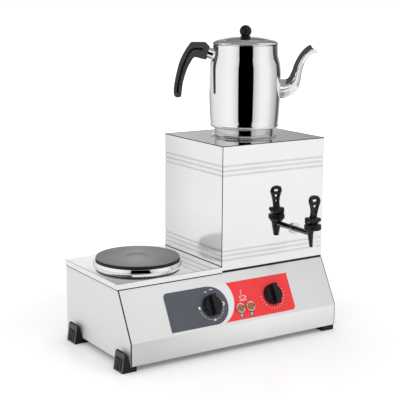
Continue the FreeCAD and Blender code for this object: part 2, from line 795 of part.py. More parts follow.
def make_tank():
    # A square sheet tank with two groups of three pressed grooves round it, and its floor
    wall = s.tank_wall
    low, high = case_top, tank_top - wall
    outer = (tank_left, deck_front, half_width, half_depth)

    def frame(name, inset, thickness, bottom, top):
        left, front, right, back = outer
        whole = box(name, (left + inset, front + inset, bottom), (right - inset, back - inset, top))
        inset = inset + thickness
        core = box(name + "_core", (left + inset, front + inset, bottom - 1),
                   (right - inset, back - inset, as_size(top) + 1))
        return cut(name + "_ring", whole, core)

    groove_levels = []
    for centre in (tank_top - s.bead_from_top, case_top + s.bead_from_bottom):
        for step in (-1, 0, 1):
            groove_levels.append(centre + s.bead_pitch * step)
    ribs = []
    grooves = []
    for number, level in enumerate(groove_levels):
        bottom, top = level - s.bead_width / 2, level + s.bead_width / 2
        ribs.append(frame(f"rib_{number}", s.tank_wall, s.bead_depth, bottom - wall, top + wall))
        grooves.append(frame(f"groove_{number}", as_size(0), s.bead_depth, bottom, top))
    shell = fuse("tank_ribbed", frame("tank_walls", as_size(0), wall, low, high), *ribs)
    tap_hole = rod("tap_hole", s.shank_radius + s.screw_hole_gap, wall * 6, s.tap_x,
                   deck_front + wall * 4, s.tap_level, (1, 0, 0), 90)
    node(cut("tank_cut", shell, *grooves, tap_hole), "tank_shell")

    plate = box("floor_plate", (tank_left + wall, deck_front + wall, case_top),
                (half_width - wall, half_depth - wall, case_top + wall))
    plug_hole = rod("plug_hole", s.plug_hole_radius, wall * 3, tank_x, tank_y, case_top - wall)
    pocket_x = tank_x + s.pocket_offset
    pocket_hole = rod("pocket_hole", s.pocket_radius, wall * 3, pocket_x, tank_y, case_top - wall)
    node(cut("floor_cut", plate, plug_hole, pocket_hole), "tank_floor")

    floor_top = case_top + wall
    top_nut = ring("plug_lock", s.plug_hole_radius, s.plug_radius, 0, s.plug_lock_height)
    node(top_nut, "element_nut", tank_x, tank_y, floor_top)
    gasket = ring("gasket", s.plug_hole_radius, s.plug_radius, -s.gasket_height, 0)
    node(gasket, "element_gasket", tank_x, tank_y, case_top)
    plug_low = -s.gasket_height - s.plug_height
    neck = rod("plug_neck", s.plug_hole_radius, s.plug_lock_height + wall + s.gasket_height,
               0, 0, -s.gasket_height)
    head = hexagon("plug_head", s.plug_radius, s.plug_height, 0, 0, plug_low)
    leg_x = s.element_leg_gap / 2
    bores = []
    for side in (-1, 1):
        bores.append(rod(f"plug_bore_{side + 1}", s.element_radius, s.plug_height * 4,
                         side * leg_x, 0, plug_low - 1))
    plug = cut("plug_cut", fuse("plug_blank", neck, head), *bores)
    node(plug, "element_plug", tank_x, tank_y, case_top)

    top = s.element_height.value
    wide = s.element_half_width.value
    reach = s.element_reach.value
    leg = leg_x.value
    start = (plug_low - s.plug_height / 2).value
    path = [vector(leg, 0, start), vector(leg, 0, top), vector(wide, -reach, top),
            vector(wide, reach / 2, top), vector(-wide, reach / 2, top), vector(-wide, -reach, top),
            vector(-leg, 0, top), vector(-leg, 0, start)]
    coil = swept_tube("heater", path, s.element_radius.value, s.element_radius.value * 3.2)
    node(coil, "immersion_element", tank_x, tank_y, case_top)

    pocket = turned("pocket", [
        (s.pocket_bore, 0), (s.pocket_radius, 0), (s.pocket_radius, s.pocket_height),
        (0, s.pocket_height), (0, s.pocket_height - wall), (s.pocket_bore, s.pocket_height - wall)])
    node(pocket, "bulb_pocket", pocket_x, tank_y, case_top - wall * 4)

    sensor_x = tank_x + s.cutout_offset
    sensor = rod("sensor", s.cutout_radius, s.cutout_height, sensor_x, tank_y,
                 case_top - s.cutout_height)
    node(sensor, "dry_boil_cutout")


def make_tank_lid():
    wall = s.tank_wall
    plate = box("lid_plate", (tank_left, deck_front, tank_top - wall),
                (half_width, half_depth, tank_top))
    inset = wall + s.lid_skirt_gap
    skirt = box("lid_skirt", (tank_left + inset, deck_front + inset, tank_top - s.lid_skirt_depth),
                (half_width - inset, half_depth - inset, tank_top - wall))
    inset = inset + wall
    room = box("lid_room", (tank_left + inset, deck_front + inset, tank_top - s.lid_skirt_depth * 2),
               (half_width - inset, half_depth - inset, tank_top - wall))
    steam_hole = rod("steam_hole", s.steam_hole_radius, wall * 4, tank_x, tank_y,
                     tank_top - wall * 2)
    whole = fuse("lid_blank", plate, cut("lid_skirt_ring", skirt, room))
    node(cut("lid_cut", whole, steam_hole), "tank_lid")

    flare = bend_radius(s.steam_flare_height, s.steam_flange_radius - s.steam_radius)
    inner = s.steam_radius - wall
    collar = turned("collar", [
        (inner, 0), (s.steam_flange_radius, 0), (s.steam_flange_radius, wall, -flare * 1.2),
        (s.steam_radius, s.steam_flare_height), (s.steam_radius, s.steam_height - wall),
        (inner, s.steam_height), (s.steam_lip_radius, s.steam_height),
        (s.steam_lip_radius, s.steam_height - wall), (inner, s.steam_height - wall)])
    node(collar, "steam_collar", tank_x, tank_y, tank_top)


def make_tap():
    # Local Z is the tap's upright axis, 0 at the shank; the shank runs back through the tank wall
    tap_place = (s.tap_x, tap_y, s.tap_level)
    chamber = s.valve_chamber_radius
    shank_start = chamber + s.panel_gap
    shank_length = s.tap_reach + s.tank_wall + s.shank_inside - shank_start
    shank = rod("shank_bar", s.shank_radius, shank_length, 0, shank_start + shank_length, 0,
                (1, 0, 0), 90)
    shank_hole = rod("shank_hole", s.shank_bore, shank_length * 2, 0, shank_length * 2, 0,
                     (1, 0, 0), 90)
    node(cut("shank", shank, shank_hole), "tap_shank", *tap_place)

    wall_y = s.tap_reach
    rosette = ring("rosette", s.shank_radius, s.rosette_radius, 0, s.rosette_height)
    node(rosette, "tap_rosette", s.tap_x, deck_front, s.tap_level, (1, 0, 0), 90)
    seal = ring("seal", s.shank_radius, s.seal_radius, 0, s.seal_height)
    node(seal, "tap_seal", s.tap_x, deck_front + s.tank_wall + s.seal_height, s.tap_level,
         (1, 0, 0), 90)
    nut_y = deck_front + s.tank_wall + s.seal_height + s.lock_nut_height
    nut = hexagon("lock_nut", s.lock_nut_radius, s.lock_nut_height)
    nut_hole = rod("lock_nut_hole", s.shank_radius, s.lock_nut_height * 3, 0, 0,
                   -s.lock_nut_height)
    node(cut("lock_nut_cut", nut, nut_hole), "tap_lock_nut", s.tap_x, nut_y, s.tap_level,
         (1, 0, 0), 90)

    seat = -s.valve_seat_drop
    tip = -s.spout_drop
    cone = turned("cone", [
        (s.spout_bore, tip), (s.spout_tip_radius, tip), (s.spout_top_radius, s.cone_top),
        (s.tap_collar_radius, s.cone_top), (s.tap_collar_radius, s.tap_collar_top),
        (chamber, s.tap_collar_top), (chamber, seat), (s.spout_bore, seat)])
    side_hole = rod("side_hole", s.shank_radius, s.spout_top_radius * 2, 0, s.spout_top_radius * 2, 0,
                    (1, 0, 0), 90)
    node(cut("tap_cut", cone, side_hole), "tap_body", *tap_place)

    bonnet_low = s.tap_collar_top
    bonnet_top = bonnet_low + s.bonnet_height
    pivot = bonnet_top + s.pivot_above_bonnet
    stem_bore = s.valve_stem_radius + s.shaft_play
    cap = turned("cap", [
        (stem_bore, bonnet_low), (s.bonnet_radius - 2, bonnet_low), (s.bonnet_radius, bonnet_low + 2),
        (s.bonnet_radius, bonnet_top - 3, 4), (s.bonnet_radius - 3, bonnet_top),
        (stem_bore, bonnet_top)])
    scallops = []
    scallop_count = int(s.bonnet_scallop_count.value)
    for number in range(scallop_count):
        turn = 2 * math.pi * number / scallop_count
        reach = s.bonnet_radius + s.bonnet_scallop_radius * 0.55
        scallops.append(rod(f"scallop_{number}", s.bonnet_scallop_radius, s.bonnet_height * 2,
                            reach * math.cos(turn), reach * math.sin(turn), 0))
    lugs = []
    for side in (-1, 1):
        near = side * s.lug_inner
        far = side * (s.lug_inner + s.lug_thickness)
        left, right = (far, near) if side < 0 else (near, far)
        post = box(f"lug_post_{side + 1}", (left, -s.lug_radius, bonnet_top),
                   (right, s.lug_radius, pivot))
        eye = rod(f"lug_eye_{side + 1}", s.lug_radius, s.lug_thickness, left, 0, pivot, (0, 1, 0), 90)
        lugs.extend([post, eye])
    pivot_hole = rod("pivot_hole", s.pivot_radius + s.shaft_play, s.bonnet_radius * 2,
                     -s.bonnet_radius, 0, pivot, (0, 1, 0), 90)
    bonnet = cut("bonnet", fuse("bonnet_blank", cut("bonnet_rim", cap, *scallops), *lugs), pivot_hole)
    node(bonnet, "tap_bonnet", *tap_place)

    cup_low = seat + s.part_gap / 2
    cup_top = cup_low + s.seat_cup_height
    cup = ring("cup", 0, s.seat_cup_radius, cup_low, cup_top)
    node(cup, "seat_cup", *tap_place)
    stem_top = pivot + s.pivot_radius + s.panel_gap + s.stem_head
    stem = rod("stem_bar", s.valve_stem_radius, stem_top - cup_top, 0, 0, cup_top)
    slot_low = pivot - s.pivot_radius - s.panel_gap - s.valve_travel
    slot_high = pivot + s.pivot_radius + s.panel_gap
    slot_half = s.pivot_radius + s.panel_gap
    slot = box("stem_slot", (-s.valve_stem_radius * 2, -slot_half, slot_low),
               (s.valve_stem_radius * 2, slot_half, slot_high))
    node(cut("stem", stem, slot), "valve_stem", *tap_place)

    spring_inner = s.valve_stem_radius + s.panel_gap * 2
    wire = s.spring_wire.value
    spring_height = (bonnet_low - cup_top - s.part_gap).value - wire * 2
    middle = spring_inner.value + wire
    helix = Part.makeHelix(spring_height / 3, spring_height, middle)
    section = Part.Wire(Part.makeCircle(wire, vector(middle, 0, 0), vector(0, 1, 0)))
    spring = doc.addObject("Part::Feature", "spring")
    spring.Shape = Part.Wire(helix.Edges).makePipeShell([section], True, True)
    node(spring, "valve_spring", s.tap_x, tap_y, s.tap_level + cup_top + s.part_gap + s.spring_wire)

    make_tap_lever(tap_place, pivot)


def make_tap_lever(tap_place, pivot):
    # A hollow foot straddles the bonnet's lugs on the pin; the paddle above it has three slots
    half = s.lever_base_radius
    below = s.panel_gap - s.pivot_above_bonnet
    roof_top = s.lever_base_top
    corner = half * 0.19
    side = body("lever_side")
    side_sketch = sketch_on(side, "YZ_Plane", -half)
    outline(side_sketch, [
        (corner - half, half * 0.2), (-0.5, below), (half - corner, below), (half, below + corner),
        (half, roof_top - 2), (half - 2, roof_top), (2 - half, roof_top), (-half, roof_top - 3),
        (-half, half * 0.24)])
    pad(side, side_sketch, half * 2)
    lug_outer = s.lug_inner + s.lug_thickness + s.panel_gap
    room = box("lever_room", (-lug_outer, -half * 0.85, below * 3),
               (lug_outer, half * 0.85, roof_top - s.lever_roof))
    foot = cut("lever_foot", side, room)

    stem_half = s.lever_stem_width / 2
    head_half = s.lever_head_width / 2
    tip = s.lever_tip
    neck_top = roof_top + s.lever_neck
    head_low = tip - s.lever_head_height
    corner_top = tip - s.lever_corner_drop
    waist, corner_bend = s.lever_waist_bend, s.lever_corner_bend
    front = body("lever_front")
    front_sketch = sketch_on(front, "XZ_Plane", -s.lever_head_width)
    outline(front_sketch, [
        (-stem_half, roof_top - 1), (stem_half, roof_top - 1), (stem_half, neck_top, -waist),
        (head_half, head_low, corner_bend), (head_half - s.lever_corner_width, corner_top,
                                             s.lever_tip_bend),
        (s.lever_corner_width - head_half, corner_top, corner_bend), (-head_half, head_low, -waist),
        (-stem_half, neck_top)])
    pad(front, front_sketch, s.lever_head_width * 2)
    profile = body("lever_profile")
    profile_sketch = sketch_on(profile, "YZ_Plane", -s.lever_head_width)
    thick = s.lever_thickness / 2
    bow = bend_radius((tip - roof_top) / 2, s.lever_bow)
    outline(profile_sketch, [
        (-thick, roof_top - 1, -bow), (-thick, tip + 1), (thick - 3, tip + 1, bow),
        (thick, roof_top - 1)])
    pad(profile, profile_sketch, s.lever_head_width * 2)
    paddle = doc.addObject("Part::Common", "lever_paddle")
    paddle.Base = front
    paddle.Tool = profile
    slots = []
    for number in range(3):
        width = s.lever_slot_narrow + s.lever_slot_step * number
        middle = tip - s.lever_slot_pitch * (3 - number) + 0.5
        slots.append(box(f"lever_slot_{number}",
                         (-width / 2, -s.lever_thickness * 2, middle - s.lever_slot_height / 2),
                         (width / 2, s.lever_thickness * 2, middle + s.lever_slot_height / 2)))
    pin_hole = rod("lever_pin_hole", s.pivot_radius, half * 2.4, -half * 1.2, 0, 0, (0, 1, 0), 90)
    lever = cut("lever", fuse("lever_blank", foot, cut("lever_slotted", paddle, *slots)), pin_hole)
    x, y, z = tap_place
    node(lever, "tap_lever", x, y, z + pivot)
    pin = rod("pin", s.pivot_radius, half * 2, x - half, y, z + pivot, (0, 1, 0), 90)
    node(pin, "lever_pin")


def make_controls():
    # The printed overlay, two knobs on their shafts, two lamps, and what they work behind the panel
    behind = -s.sheet_metal
    overlay = body("overlay")
    face = sketch_on(overlay, "XY_Plane")
    corner = s.overlay_corner
    left, right, low, high = s.overlay_left, s.overlay_right, s.overlay_low, s.overlay_high
    outline(face, [
        (left, low), (right - corner, low, corner), (right, low + corner), (right, high),
        (left + corner, high, corner), (left, high - corner)])
    for x in (s.hob_knob_x, s.thermostat_x):
        circle(face, x, s.knob_along, s.bushing_radius + s.screw_hole_gap)
    for side in (-1, 1):
        circle(face, s.lamp_x + s.lamp_pitch * side / 2, s.lamp_along,
               s.lamp_body_radius + s.screw_hole_gap)
    pad(overlay, face, s.overlay_thickness)
    on_slope(overlay, "control_overlay", 0, 0, 0)

    for label, x, switch, depth in (("hob", s.hob_knob_x, "hob_switch", s.switch_depth),
                                    ("thermostat", s.thermostat_x, "thermostat_body",
                                     s.thermostat_depth)):
        shaft_low = behind - depth / 2 + s.part_gap * 2
        make_knob(label, x, shaft_low)
        half = s.switch_size / 2
        case = box(label + "_case", (-half, -half, behind - depth), (half, half, behind))
        bushing = rod(label + "_bushing", s.bushing_radius, s.bushing_length, 0, 0, behind)
        bore = rod(label + "_bore", s.shaft_radius + s.shaft_play, depth + s.bushing_length, 0, 0,
                   behind - depth / 2)
        on_slope(cut(label + "_switch", fuse(label + "_switch_blank", case, bushing), bore), switch,
                 x, s.knob_along, 0)

    bezels, lenses, bodies = [], [], []
    lens_radius = s.lamp_lens_radius
    for number, side in enumerate((-1, 1)):
        x = s.lamp_x + s.lamp_pitch * side / 2
        bezel = turned(f"bezel_{number}", [
            (lens_radius, overlay_face), (s.lamp_bezel_radius, overlay_face),
            (s.lamp_bezel_radius, s.lamp_bezel_height - 1, 1.5),
            (s.lamp_bezel_radius - 1, s.lamp_bezel_height), (lens_radius, s.lamp_bezel_height - 1)])
        lens = turned(f"lens_{number}", [
            (0, overlay_face), (lens_radius, overlay_face),
            (lens_radius, s.lamp_bezel_height - 1.5, bend_radius(lens_radius, 1)),
            (0, s.lamp_bezel_height - 0.5)])
        tube = rod(f"lamp_{number}", s.lamp_body_radius, s.lamp_body_length + overlay_face, 0, 0,
                   -s.lamp_body_length)
        for piece in (bezel, lens, tube):
            place(piece, x, s.lamp_along, 0 if piece is not tube else -s.lamp_body_length)
        bezels.append(bezel)
        lenses.append(lens)
        bodies.append(tube)
    for label, pieces in (("lamp_bezels", bezels), ("lamp_lenses", lenses), ("lamp_bodies", bodies)):
        on_slope(group(label + "_pair", *pieces), label, 0, 0, 0)

    thermostat_back = behind - s.thermostat_depth
    along = s.knob_along
    start = vector(
        s.thermostat_x.value,
        (along * s.slope_setback / slope_length - thermostat_back * slope_rise / slope_length
         - half_depth).value,
        (slope_foot + along * slope_rise / slope_length
         + thermostat_back * s.slope_setback / slope_length).value)
    inward = vector(0, (slope_rise / slope_length).value, -(s.slope_setback / slope_length).value)
    pocket_x = (tank_x + s.pocket_offset).value
    bulb_low = (case_top + s.pocket_height - s.bulb_length - s.tank_wall * 5).value
    lead = s.probe_lead.value
    probe = [start, start + inward * lead, vector(pocket_x, tank_y.value, start.z - lead),
             vector(pocket_x, tank_y.value, bulb_low)]
    capillary = swept_tube("capillary", probe, s.capillary_radius.value, s.probe_bend.value)
    bulb = Part.makeCylinder(s.bulb_radius.value, s.bulb_length.value,
                             vector(pocket_x, tank_y.value, bulb_low))
    sensor = doc.addObject("Part::Feature", "sensor_bulb")
    sensor.Shape = capillary.Shape.fuse(bulb)
    node(sensor, "thermostat_probe")


def make_knob(label, x, shaft_low):
    # A round skirt with a bar grip, pressed on a shaft that turns in the switch's bushing
    gap = overlay_face + s.part_gap * 2
    bore = s.bushing_radius + s.part_gap
    skirt_top = gap + s.knob_skirt_height
    shell = turned(label + "_skirt", [
        (0, gap + s.bushing_length), (bore, gap + s.bushing_length), (bore, gap),
        (s.knob_radius, gap), (s.knob_radius, gap + 2.5), (s.knob_crown_radius + 1, skirt_top),
        (s.knob_crown_radius, skirt_top + 5), (0, skirt_top + 5)])
    grip = body(label + "_grip")
    plan = sketch_on(grip, "XY_Plane", skirt_top)
    half = s.knob_grip_width / 2
    end = root(s.knob_radius * s.knob_radius - half * half)
    outline(plan, [(-half, -end, s.knob_radius), (half, -end), (half, end, s.knob_radius),
                   (-half, end)])
    block = pad(grip, plan, s.knob_height - skirt_top)
    top = max(block.Shape.Faces, key=lambda face: face.CenterOfMass.z)
    round_edges(grip, block, s.knob_grip_fillet,
                lambda edge: any(edge.isSame(other) for other in top.Edges))
    shaft_hole = rod(label + "_socket", s.shaft_radius, s.shaft_in_knob, 0, 0, 0)
    knob = cut(label + "_knob_cut", fuse(label + "_knob_blank", shell, grip), shaft_hole)
    on_slope(knob, label + "_knob", x, s.knob_along, 0)
    shaft = rod(label + "_rod", s.shaft_radius, s.shaft_in_knob - shaft_low)
    on_slope(shaft, label + "_shaft", x, s.knob_along, shaft_low)


def make_inlet():
    outside = turned("gland_cap", [
        (s.gland_bore, -s.gland_inside), (s.gland_radius, -s.gland_inside), (s.gland_radius, 0),
        (s.gland_cap_radius, 0), (s.gland_cap_radius, s.gland_outside * 0.7),
        (s.gland_bore * 1.6, s.gland_outside), (s.gland_bore, s.gland_outside)])
    place(outside, gland_x, half_depth, s.gland_height, (1, 0, 0), -90)
    nut = hexagon("gland_nut", s.gland_cap_radius, s.gland_nut_height)
    nut_hole = rod("gland_nut_hole", s.gland_radius, s.gland_nut_height * 3, 0, 0,
                   -s.gland_nut_height)
    inside = cut("gland_nut_cut", nut, nut_hole)
    place(inside, gland_x, half_depth - s.sheet_metal, s.gland_height, (1, 0, 0), 90)
    node(group("gland_pair", outside, inside), "cable_gland")
    low = case_bottom + s.sheet_metal
    front = half_depth - s.terminal_setback
    block = box("supply_block", (gland_x, front, low),
                (gland_x + s.terminal_length, front + s.terminal_width, low + s.terminal_height))
    node(block, "terminal_block")


def pot_profile(inner):
    # outer wall of the pot from its base to its rim, as (radius, height, bend) points
    shift = -s.pot_wall if inner else as_size(0)
    rise = s.pot_belly_height - s.pot_foot_height
    lower_bend = bend_radius(rise, s.pot_belly_radius - s.pot_foot_radius)
    upper_rise = s.pot_shoulder_height - s.pot_belly_height
    upper_bend = bend_radius(upper_rise, s.pot_belly_radius - s.pot_shoulder_radius)
    half_rise = (s.pot_neck_height - s.pot_shoulder_height) / 2
    half_step = (s.pot_shoulder_radius - s.pot_neck_radius) / 2
    shoulder_bend = bend_radius(half_rise, half_step)
    return [
        (s.pot_foot_radius + shift, s.pot_foot_height, lower_bend),
        (s.pot_belly_radius + shift, s.pot_belly_height, upper_bend),
        (s.pot_shoulder_radius + shift, s.pot_shoulder_height, shoulder_bend),
        (s.pot_neck_radius + half_step + shift, s.pot_neck_height - half_rise, -shoulder_bend),
        (s.pot_neck_radius + shift, s.pot_neck_height),
        (s.pot_neck_radius + shift, s.pot_height)]


def reversed_profile(points):
    # the same outline walked the other way, with its bends on the edges where they were
    corners = [point[:2] for point in reversed(points)]
    bends = [point[2] if len(point) > 2 else None for point in points[:-1]][::-1]
    turned_back = []
    for corner, bend in zip(corners, bends + [None]):
        turned_back.append((*corner, -bend) if bend else corner)
    return turned_back


def loft_along(first, last, stations):
    # A smooth solid through ellipses in the pot's upright plane. Each is at a share of the way
    # from first to last, with its half size in that plane, its half size across, and a direction.
    rings = []
    for forward, up, in_plane, across, direction in stations:
        centre = vector(first[0] + (last[0] - first[0]) * forward, 0,
                        first[1] + (last[1] - first[1]) * up)
        turn = math.radians(direction)
        side = vector(0, across, 0)
        upward = vector(-math.sin(turn) * in_plane, 0, math.cos(turn) * in_plane)
        if abs(in_plane - across) < 0.001:
            curve = Part.Circle(centre, vector(math.cos(turn), 0, math.sin(turn)), in_plane)
        elif in_plane > across:
            curve = Part.Ellipse(centre + upward, centre + side, centre)
        else:
            curve = Part.Ellipse(centre + side, centre + upward, centre)
        rings.append(Part.Wire(curve.toShape()))
    return Part.makeLoft(rings, True)


def make_teapot():
    pot_place = (tank_x, tank_y, tank_top + s.steam_height + s.part_gap, (0, 0, 1), -s.pot_turn.value)
    wall = s.pot_wall
    foot = [(s.pot_base_radius, 0), (s.pot_bead_radius, s.pot_bead_low),
            (s.pot_bead_radius, s.pot_bead_high)]
    envelope = turned("pot_envelope", [(0, 0)] + foot + pot_profile(False) + [(0, s.pot_height)])
    inner_floor = [(s.pot_base_radius - wall, wall), (0, wall)]
    inner = reversed_profile(pot_profile(True))
    shell = turned("pot_shell", [(0, 0)] + foot + pot_profile(False) + inner + inner_floor)
    strainer = []
    for row in (-1, 0, 1):
        for column in (-1, 0, 1):
            strainer.append(rod(f"strainer_{row + 1}_{column + 1}", s.strainer_hole_radius,
                                s.spout_root_radius * 2, s.pot_neck_radius, s.strainer_pitch * column,
                                s.spout_root_height + s.strainer_pitch * row, (0, 1, 0), 90))
    node(cut("pot_cut", shell, *strainer), "teapot_body", *pot_place)

    spout_root = (s.pot_foot_radius.value - 6, s.spout_root_height.value)
    spout_mouth = (s.spout_mouth_reach.value, s.spout_mouth_height.value)
    wide, narrow = s.spout_root_radius.value, s.spout_mouth_radius.value
    # along and up from root to mouth, how wide between mouth 0 and root 1, and the direction there
    bends = ((0, 0, 1, 0), (0.08, 0, 1, 0), (0.3, 0.023, 0.81, 15), (0.44, 0.147, 0.48, 48),
             (0.53, 0.4, 0.05, 73), (0.61, 0.633, -0.14, 68), (0.73, 0.82, -0.14, 55),
             (0.868, 0.949, -0.14, 42), (1, 1, 0, 51))
    skins = []
    for inset in (0, s.spout_wall.value):
        stations = []
        for forward, up, share, direction in bends:
            radius = narrow + (wide - narrow) * share - inset
            stations.append((forward, up, radius, radius, direction))
        skins.append(loft_along(spout_root, spout_mouth, stations))
    spout = doc.addObject("Part::Feature", "spout")
    spout.Shape = skins[0].cut(skins[1]).cut(envelope.Shape)
    node(spout, "teapot_spout", *pot_place)

    start = -s.handle_neck_start
    top = s.handle_top
    deep, across = s.handle_grip.value / 2, s.handle_width.value / 2
    # along and down from the neck to the tip, thickness in the two directions, and the direction
    neck_forward, neck_down = 0.02, 0.193
    bends = ((neck_forward, neck_down, 1.3, 1.12, 180 - s.ferrule_tilt.value), (0.246, 0.144, 1.45, 1.18, 170),
             (0.47, 0.145, 1.42, 1.15, 200), (0.632, 0.251, 1.18, 1.05, 233),
             (0.744, 0.432, 1.05, 1, 250), (0.838, 0.663, 1, 1, 260), (0.87, 0.868, 0.95, 0.95, 269),
             (0.873, 0.955, 0.8, 0.8, 270), (0.873, 0.995, 0.4, 0.4, 270))
    stations = [(forward, down, deep * thick, across * broad, direction)
                for forward, down, thick, broad, direction in bends]
    grip = doc.addObject("Part::Feature", "grip")
    grip.Shape = loft_along((start.value, top.value),
                            (-s.handle_reach.value, s.handle_bottom.value), stations)
    node(grip, "handle_grip", *pot_place)

    face_x = start - (s.handle_reach + start) * neck_forward
    face_z = top - (top - s.handle_bottom) * neck_down
    ferrule = rod("ferrule", s.ferrule_radius, s.ferrule_radius * 2.2, face_x, 0, face_z, (0, 1, 0),
                  90 + s.ferrule_tilt.value)
    band = ring("bracket_band", s.pot_neck_radius, s.pot_neck_radius + s.bracket_metal,
                s.pot_neck_height, s.pot_height - 3)
    window = box("bracket_window", (-s.pot_neck_radius * 2, -s.bracket_half_width, s.pot_neck_height),
                 (0, s.bracket_half_width, s.pot_height))
    strap = doc.addObject("Part::Common", "bracket_strap")
    strap.Base = band
    strap.Tool = window
    bracket = cut("bracket", fuse("bracket_blank", strap, ferrule), envelope)
    node(bracket, "handle_bracket", *pot_place)

    lid_place = (*pot_place[:2], pot_place[2] + s.pot_height + s.part_gap, *pot_place[3:])
    metal = s.pot_lid_metal
    step = s.pot_lid_step_radius
    step_height = s.pot_lid_step_height
    ring_outer = s.pot_neck_radius - wall - s.pot_lid_ring_gap
    dome = bend_radius(step - s.pot_lid_flat_radius, s.pot_lid_height - step_height)
    edge_bend = bend_radius(s.pot_lid_radius - step, step_height - metal * 2) * 0.8
    hole = s.lid_screw_radius
    lid = turned("pot_lid", [
        (hole, s.pot_lid_height - metal), (s.pot_lid_flat_radius, s.pot_lid_height - metal, -dome),
        (step - metal, step_height - metal * 1.5), (ring_outer - metal, metal * 1.5),
        (ring_outer - metal, -s.pot_lid_ring_depth), (ring_outer, -s.pot_lid_ring_depth),
        (ring_outer, 0), (s.pot_lid_radius, 0), (s.pot_lid_radius, metal, edge_bend),
        (step + metal, step_height - metal), (step, step_height, dome),
        (s.pot_lid_flat_radius, s.pot_lid_height), (hole, s.pot_lid_height)])
    node(lid, "teapot_lid", *lid_place)

    low = s.pot_lid_height
    foot_top = low + s.lid_knob_foot_height
    centre = low + s.lid_knob_centre
    ball = s.lid_knob_ball
    neck = s.lid_knob_neck
    neck_top = centre - root(ball * ball - neck * neck)
    screw_top = low + s.lid_screw_depth
    knob = turned("ball", [
        (hole, low), (s.lid_knob_foot, low), (s.lid_knob_foot, foot_top - 0.7), (neck, foot_top),
        (neck, neck_top, ball), (0, centre + ball), (0, screw_top), (hole, screw_top)])
    node(knob, "lid_knob", *lid_place)
    head = s.lid_screw_head
    screw = turned("screw", [
        (0, low - metal - 2.5), (head, low - metal - 2.5), (head, low - metal), (hole, low - metal),
        (hole, screw_top), (0, screw_top)])
    node(screw, "lid_screw", *lid_place)


def export():
    doc.recompute()
    for item in doc.Objects:
        if "Invalid" in item.State or "Error" in item.State:
            raise RuntimeError(f"{item.Label} failed: {item.State}")
    for item in nodes:
        if item.Shape.isNull() or not item.Shape.isValid():
            raise RuntimeError(f"{item.Label} has no valid shape")
    for item in nodes:
        item.Shape.exportStep(f"parts/{item.Label}.step")
        print(item.Label, len(item.Shape.Solids), "solid(s)", round(item.Shape.Volume))


make_casing()
make_feet()
make_hob()
make_tank()
make_tank_lid()
make_tap()
make_controls()
make_inlet()
make_teapot()
export()
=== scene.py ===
from math import asin, atan2, cos, hypot, pi, radians, sin

import bpy
from mathutils import Matrix, Vector


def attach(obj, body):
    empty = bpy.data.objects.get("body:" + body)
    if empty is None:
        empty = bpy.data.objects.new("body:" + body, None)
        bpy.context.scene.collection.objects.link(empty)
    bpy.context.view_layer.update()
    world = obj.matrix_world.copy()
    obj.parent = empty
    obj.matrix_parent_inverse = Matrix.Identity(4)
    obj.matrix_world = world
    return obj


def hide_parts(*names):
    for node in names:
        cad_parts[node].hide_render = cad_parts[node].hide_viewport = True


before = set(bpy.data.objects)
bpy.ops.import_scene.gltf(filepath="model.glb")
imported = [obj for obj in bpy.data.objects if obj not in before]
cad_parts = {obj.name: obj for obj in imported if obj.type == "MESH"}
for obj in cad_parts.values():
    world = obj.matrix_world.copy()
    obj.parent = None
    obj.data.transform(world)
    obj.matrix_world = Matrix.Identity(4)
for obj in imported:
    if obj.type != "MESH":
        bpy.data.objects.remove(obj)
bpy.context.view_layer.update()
mm = 0.001
print("frame loaded")

bpy.context.scene.view_settings.view_transform = "Standard"


def nothingSelected():
    if bpy.context.mode != "OBJECT":
        bpy.ops.object.mode_set(mode="OBJECT")
    bpy.ops.object.select_all(action="DESELECT")


def named(piece, name):
    piece.name = name
    piece.data.name = name
    return piece


def added(name, make, **settings):
    # a new piece from a basic shape
    nothingSelected()
    make(**settings)
    return named(bpy.context.object, name)


def turned(angle, axis):
    return Matrix.Rotation(angle, 4, axis)


# camera
camera = {
    "place": (-1.23429, -1.88863, 0.75416),
    "azimuth": -33.0,
    "elevation": 11.44,
    "roll": 0.38,
    "lens": 95.73,
    "sensor": 36,
    "clip": (0.05, 60),
}


def addCamera():
    eye = added("studio_camera", bpy.ops.object.camera_add)
    turn, lift, roll = (radians(camera[key]) for key in ("azimuth", "elevation", "roll"))
    eye.matrix_world = (Matrix.Translation(camera["place"]) @ turned(turn, "Z")
                        @ turned(pi / 2 - lift, "X") @ turned(roll, "Z"))
    eye.data.sensor_width = camera["sensor"]
    eye.data.lens = camera["lens"]
    eye.data.clip_start, eye.data.clip_end = camera["clip"]
    eye.data.dof.use_dof = False
    bpy.context.scene.camera = eye


addCamera()
print("camera placed")


# ways of making a material; a node's or socket's id_data is the tree it is in
def feed(socket, value):
    # links another node's output to the socket or gives it a plain value; one number is a grey
    if isinstance(value, bpy.types.NodeSocket):
        socket.id_data.links.new(value, socket)
    elif socket.type == "RGBA":
        socket.default_value = (*(value if isinstance(value, tuple) else (value,) * 3), 1)
    else:
        socket.default_value = value


def addNode(tree, kind, inputs=None, **settings):
    made = tree.nodes.new("ShaderNode" + kind)
    for key, value in settings.items():
        setattr(made, key, value)
    for key, value in (inputs or {}).items():
        feed(made.inputs[key], value)
    return made


def shaderInput(tree, key):
    return tree.nodes["Principled BSDF"].inputs[key]


def setShader(key, value):
    feed(shaderInput(value.id_data, key), value)


def newFinish(name, inputs):
    finish = bpy.data.materials.new(name)
    finish.use_nodes = True
    tree = finish.node_tree
    for key, value in inputs.items():
        feed(shaderInput(tree, key), value)
    return finish, tree


def objectSpace(tree, scale=(1, 1, 1), move=(0, 0, 0)):
    where = addNode(tree, "TexCoord").outputs["Object"]
    mapping = addNode(tree, "Mapping", {"Vector": where, "Scale": scale, "Location": move})
    return mapping.outputs["Vector"]


def objectParts(tree, move=(0, 0, 0)):
    where = objectSpace(tree, (1, 1, 1), move)
    return addNode(tree, "SeparateXYZ", {"Vector": where}).outputs


